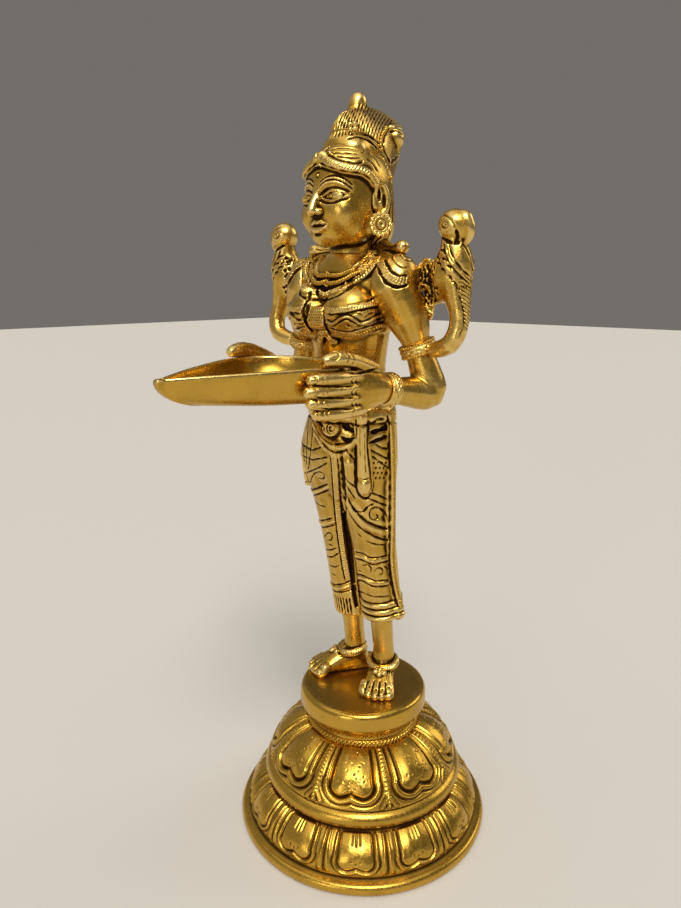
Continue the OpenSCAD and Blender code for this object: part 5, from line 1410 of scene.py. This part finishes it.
def carve_earring(name):
    """Her left ear ornament: a ring of beads round a raised boss, facing out of the ear."""
    r, t = 4.9, 2.6
    clay = Clay((-2.0, -r - 2, -r - 2), (t + 3, r + 2, r + 2), 0.2)
    clay.lay(lambda x, y, z: np.maximum(np.hypot(y, z) - r + 0.7, np.abs(x - t * 0.36) - t * 0.36), 0.4)
    a = np.arange(14) / 14 * 2 * np.pi
    face = t * 0.66
    rim = np.stack([0 * a + face, (r - 0.95) * np.cos(a), (r - 0.95) * np.sin(a)], 1)
    clay.beads(rim, 1.0, 0.12)
    clay.beads(rim + [0.95, 0, 0], 0.3, 0.1, True)
    a = np.linspace(0, 2 * np.pi, 40)
    for ring_r, out in ((r * 0.55, 0.25), (r * 0.25, 0.75)):
        clay.tube(np.stack([0 * a + face + out, ring_r * np.cos(a), ring_r * np.sin(a)], 1), 0.5, 0.2)
    clay.pill((face, 0, 0), (1.0, r * 0.45, r * 0.45), 0.3)
    clay.beads(np.array([[face + 1.1, 0, 0]]), 0.5, 0.15, True)
    mesh = clay.mesh(name)
    mesh.transform(placing([OUT_OF_EAR, BACK_OF_EAR, UP], (EAR + 2.0 * OUT_OF_EAR - [0, 0, 5.9]) * MM))
    return mesh


def dish_ring(t, floor_z, grow):
    """Level of the dish at a share of its depth; the outline runs from the spout round the stern and back."""
    n = 60
    y = -SPOUT_L * (1 - (np.arange(n) / n) ** 1.5)
    front = np.stack([np.maximum(1.4, DISH_A * (1 - (-y / SPOUT_L) ** 1.4)), y], 1)
    a = np.linspace(0, np.pi / 2, n + 1)
    side = np.vstack([front, np.stack([DISH_A * np.cos(a), STERN_L * np.sin(a)], 1)])
    loop = np.vstack([side, side[-2::-1] * [-1, 1]]) + [0, WIDEST_Y]
    q = loop - DISH_MIDDLE[:2]
    s = 0.66 + 0.34 * math.sqrt(1 - (1 - t) ** 2)
    flat = DISH_MIDDLE[:2] + q * (s + grow / np.linalg.norm(q, axis=1)[:, None])
    ahead = np.clip(WIDEST_Y - flat[:, 1], 0, None) / SPOUT_L
    lift = (SPOUT_RISE * (1 - t) - SPOUT_DIP * t) * ahead ** 2
    return np.column_stack([flat, floor_z + (RIM_TOP_Z - floor_z) * t + lift])


def build_dish():
    """Boat-shaped oil dish with a rolled rim, uneven from the file."""
    levels = np.concatenate([np.linspace(0, 0.3, 8)[:-1] ** 1.3 / 0.3 ** 0.3, np.linspace(0.3, 1, 16)])
    outer = [dish_ring(t, DISH_Z, 0) for t in levels]
    inner = [dish_ring(t, DISH_Z + DISH_WALL, -DISH_WALL) for t in levels[::-1]]
    top_out, top_in = outer[-1], inner[0]
    roll = [(top_out + top_in) / 2 + (top_out - top_in) / 2 * math.cos(t) + [0, 0, 0.8 * math.sin(t)]
            for t in np.linspace(0, np.pi, 8)[1:-1]]

    def closing(ring, shares):
        """Rings that shrink towards the middle of a floor."""
        middle = ring.mean(0)
        return [middle + (ring - middle) * s for s in shares]

    bottom, floor = closing(outer[0], (0.25, 0.5, 0.75)), closing(inner[-1], (0.75, 0.5, 0.25))
    rings = np.array(bottom + outer + roll + inner + floor)
    rows, count = rings.shape[:2]
    points = rings.reshape(-1, 3)
    rng = np.random.default_rng(5)
    lumps = np.zeros(len(points))
    for _ in range(60):
        wave = rng.normal(0, 0.16, 3)
        lumps += np.sin(points @ wave + rng.uniform(0, 6.3))
    away = points - DISH_MIDDLE
    points = points + away / (np.linalg.norm(away, axis=1)[:, None] + 1e-6) * (0.018 * lumps[:, None])
    points = np.vstack([points, bottom[0].mean(0), floor[-1].mean(0)])
    mesh = skin_mesh("lamp_dish_cast", points, [grid_faces(rows, count)] + end_faces(rows, count))
    rim, rim_end = len(bottom + outer), len(bottom + outer + roll)
    edge, recess = np.zeros((rows, count)), np.zeros((rows, count))
    edge[rim - 1:rim_end + 1] = 0.75
    # Painted shade inside the dish and, fainter, underneath it; the rolled rim is rubbed pale
    recess[rim_end + 3:] = 0.3
    recess[:len(bottom) + 2] = 0.15
    paint(mesh, edge=np.append(edge.ravel(), [0, 0]), recess=np.append(recess.ravel(), [0.15, 0.3]))
    return mesh


def string_tree():
    """Beads strung on a line: each is turned along it and towards the direction that the line carries as "out".
    Inputs are the line, the gap between beads, their radius, slant and stretch, and the finish."""
    tree = bpy.data.node_groups.new("bead_string", "GeometryNodeTree")
    for name, kind in (("Line", "Geometry"), ("Gap", "Float"), ("Bead radius", "Float"), ("Slant", "Float"),
                       ("Stretch", "Float"), ("Finish", "Material")):
        tree.interface.new_socket(name, in_out="INPUT", socket_type="NodeSocket" + kind)
    tree.interface.new_socket("Beads", in_out="OUTPUT", socket_type="NodeSocketGeometry")
    node = {key: tree.nodes.new(kind) for key, kind in (
        ("given", "NodeGroupInput"), ("made", "NodeGroupOutput"),
        ("curve", "GeometryNodeMeshToCurve"), ("spaced", "GeometryNodeResampleCurve"),
        ("bead", "GeometryNodeMeshUVSphere"), ("smooth", "GeometryNodeSetShadeSmooth"),
        ("along", "GeometryNodeInputTangent"), ("aligned", "FunctionNodeAlignRotationToVector"),
        ("outward", "GeometryNodeInputNamedAttribute"), ("faced", "FunctionNodeAlignRotationToVector"),
        ("tip", "FunctionNodeEulerToRotation"), ("turned", "FunctionNodeRotateRotation"),
        ("lean", "ShaderNodeCombineXYZ"), ("size", "ShaderNodeCombineXYZ"), ("set", "GeometryNodeInstanceOnPoints"),
        ("real", "GeometryNodeRealizeInstances"), ("finish", "GeometryNodeSetMaterial"))}
    node["spaced"].mode = "LENGTH"
    node["aligned"].axis = "Z"
    node["faced"].axis, node["faced"].pivot_axis = "X", "Z"
    node["outward"].data_type = "FLOAT_VECTOR"
    node["turned"].rotation_space = "LOCAL"
    for key, socket, value in (("bead", "Segments", 9), ("bead", "Rings", 6), ("outward", "Name", "out"),
                               ("size", "X", 1.0), ("size", "Y", 1.0)):
        node[key].inputs[socket].default_value = value
    for source, given, target, taken in (
            ("given", "Line", "curve", "Mesh"), ("curve", "Curve", "spaced", "Curve"),
            ("given", "Gap", "spaced", "Length"), ("spaced", "Curve", "set", "Points"),
            ("given", "Bead radius", "bead", "Radius"), ("bead", "Mesh", "smooth", "Geometry"),
            ("smooth", "Geometry", "set", "Instance"), ("along", "Tangent", "aligned", "Vector"),
            ("given", "Slant", "lean", "X"), ("lean", "Vector", "tip", "Euler"),
            ("aligned", "Rotation", "faced", "Rotation"), ("outward", "Attribute", "faced", "Vector"),
            ("faced", "Rotation", "turned", "Rotation"), ("tip", "Rotation", "turned", "Rotate By"),
            ("turned", "Rotation", "set", "Rotation"), ("given", "Stretch", "size", "Z"),
            ("size", "Vector", "set", "Scale"), ("set", "Instances", "real", "Geometry"),
            ("real", "Geometry", "finish", "Geometry"), ("given", "Finish", "finish", "Material"),
            ("finish", "Geometry", "made", "Beads")):
        tree.links.new(node[source].outputs[given], node[target].inputs[taken])
    return tree


def strung(tree, name, lines, slot, gap, radius, slant, stretch):
    """Mesh of the beads along some paths, each given with the directions out of what carries it."""
    mesh = bpy.data.meshes.new(name)
    points, edges = [], []
    for path, _ in lines:
        n = len(points)
        points += [tuple(p * MM) for p in path]
        edges += [(n + k, n + k + 1) for k in range(len(path) - 1)]
    mesh.from_pydata(points, edges, [])
    out = np.vstack([out for _, out in lines]).astype(np.float32)
    mesh.attributes.new("out", "FLOAT_VECTOR", "POINT").data.foreach_set("vector", out.ravel())
    carrier = put(name, mesh)
    mod = carrier.modifiers.new("beads", "NODES")
    mod.node_group = tree
    keys = {s.name: s.identifier for s in tree.interface.items_tree if s.in_out == "INPUT"}
    for key, value in (("Gap", gap * MM), ("Bead radius", radius * MM), ("Slant", slant), ("Stretch", stretch),
                       ("Finish", FINISH[slot])):
        mod[keys[key]] = value
    return made_plain(carrier, name)


def joined(name, meshes):
    """One mesh from several."""
    whole = bmesh.new()
    for m in meshes:
        whole.from_mesh(m)
    out = bpy.data.meshes.new(name)
    whole.to_mesh(out)
    whole.free()
    out.shade_smooth()
    return out


def build_figure():
    """Sets the carved pieces of the lady and her parrots, and the dish in her hands."""
    for name, carve, node in (("draped_legs_cast", carve_legs, "draped_legs"), ("feet_cast", carve_feet, "draped_legs"),
                              ("torso_cast", carve_torso, "torso"), ("head_cast", carve_head, "head"),
                              ("topknot_cast", carve_topknot, "topknot")):
        set_piece(name, carve(name), "cast_brass", node)
    for part, carve, slot in (("upper_arm", carve_upper_arm, "cast_brass"), ("forearm", carve_forearm, "cast_brass"),
                              ("hand", carve_hand, "cast_brass"), ("parrot", carve_parrot, "cast_brass"),
                              ("armlet", lambda name: carve_band(name, "left_armlet", 7, (-0.4, 0.4)), "dark_brass"),
                              ("bangle", lambda name: carve_band(name, "left_bangle", 6), "dark_brass"),
                              ("earring", carve_earring, "dark_brass")):
        mesh = carve("left_%s_cast" % part)
        set_piece("left_%s_cast" % part, mesh, slot, "left_" + part)
        set_piece("right_%s_cast" % part, mirrored(mesh, "right_%s_cast" % part), slot, "right_" + part)
    set_piece("lamp_dish_cast", build_dish(), "polished_brass", "lamp_dish")


def build_strings():
    """Beads and ropes noted while carving, and the twisted collar under the pad."""
    tree = string_tree()
    groups = {}
    for path, out, kind in STRINGS:
        groups.setdefault(kind, []).append((path, out))
    rows = [strung(tree, "beads", lines, "cast_brass", r * gap, r, slant, stretch)
            for (r, gap, slant, stretch), lines in groups.items()]
    set_piece("bead_strings", joined("bead_strings", rows), "cast_brass")
    out = outward(np.linspace(0, 2 * np.pi, 241))
    turn = [(ROPE_R * out + [0, 0, ROPE_Z], out)]
    twist = strung(tree, "twist", turn, "dark_brass", 1.9, 1.0, ROPE_SLANT, ROPE_STRETCH)
    low, high = ROPE_Z - ROPE_H / 2, ROPE_Z + ROPE_H / 2
    core = lathe("core", np.vstack([[CORE_R + 0.1, low], half_round(ROPE_R + 0.3, low, high, 1.4, 9),
                                    [CORE_R + 0.1, high]]), 160)
    set_piece("rope_collar_twist", joined("rope_collar_twist", [core, twist]), "dark_brass", "rope_collar")


def finish_fastenings():
    """Plain turned brass on the hidden studs, washers and nuts."""
    for node in ("foot_studs", "stud_washers", "stud_nuts"):
        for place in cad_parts[node].material_slots:
            place.material = FINISH["plain_brass"]


def set_stage():
    """Pale floor, soft studio light and a camera where the photographer stood."""
    s = 4.0
    mesh = bpy.data.meshes.new("floor")
    mesh.from_pydata([(-s, -s, 0), (s, -s, 0), (s, s, 0), (-s, s, 0)], [], [(0, 1, 2, 3)])
    floor = put("floor", mesh)
    pale = bpy.data.materials.new("pale_floor")
    pale.use_nodes = True
    shader = pale.node_tree.nodes["Principled BSDF"]
    shader.inputs["Base Color"].default_value = (0.62, 0.605, 0.575, 1)
    shader.inputs["Roughness"].default_value = 0.75
    mesh.materials.append(pale)

    world = bpy.data.worlds.new("studio")
    bpy.context.scene.world = world
    world.use_nodes = True
    sky = world.node_tree.nodes["Background"]
    sky.inputs["Color"].default_value = (0.17, 0.155, 0.14, 1)
    sky.inputs["Strength"].default_value = 1.0

    # Broad far lights: place, height that they aim at, angle that they fill in degrees, power and tint
    for name, at, aim_z, size, power, tint in (
            ("window", (0.60, -0.55, 1.15), 0.16, 24, 2.2, (1.0, 0.95, 0.86)),
            ("ceiling", (0.1, -0.2, 1.3), 0.16, 75, 0.8, (1.0, 0.95, 0.88)),
            ("room", (-0.9, -0.6, 0.8), 0.16, 100, 0.3, (1.0, 0.95, 0.88)),
            ("front", (0.25, -0.95, 0.40), 0.2, 18, 0.35, (1.0, 0.94, 0.83)),
            ("back", (0.45, 0.85, 0.75), 0.2, 30, 0.45, (1.0, 0.94, 0.84))):
        light = bpy.data.lights.new(name, "SUN")
        light.angle, light.energy, light.color = math.radians(size), power, tint
        back = np.array(at) - (0, 0, aim_z)
        back /= np.linalg.norm(back)
        side = np.cross(UP, back)
        side /= np.linalg.norm(side)
        put(name, light).matrix_world = placing([side, np.cross(back, side), back], at)

    camera = bpy.data.cameras.new("camera")
    camera.sensor_width = 36.0
    camera.lens = FOCAL / (2 * MID_Y) * camera.sensor_width
    camera.clip_start, camera.clip_end = 0.01, 50
    eye = put("camera", camera)
    eye.matrix_world = placing([RIGHT, ABOVE, -AHEAD], EYE * MM)
    bpy.context.scene.camera = eye
    bpy.context.scene.view_settings.view_transform = "Standard"


build_foot_tier()
build_upper_tier()
build_pad()
build_figure()
build_strings()
finish_fastenings()
set_stage()
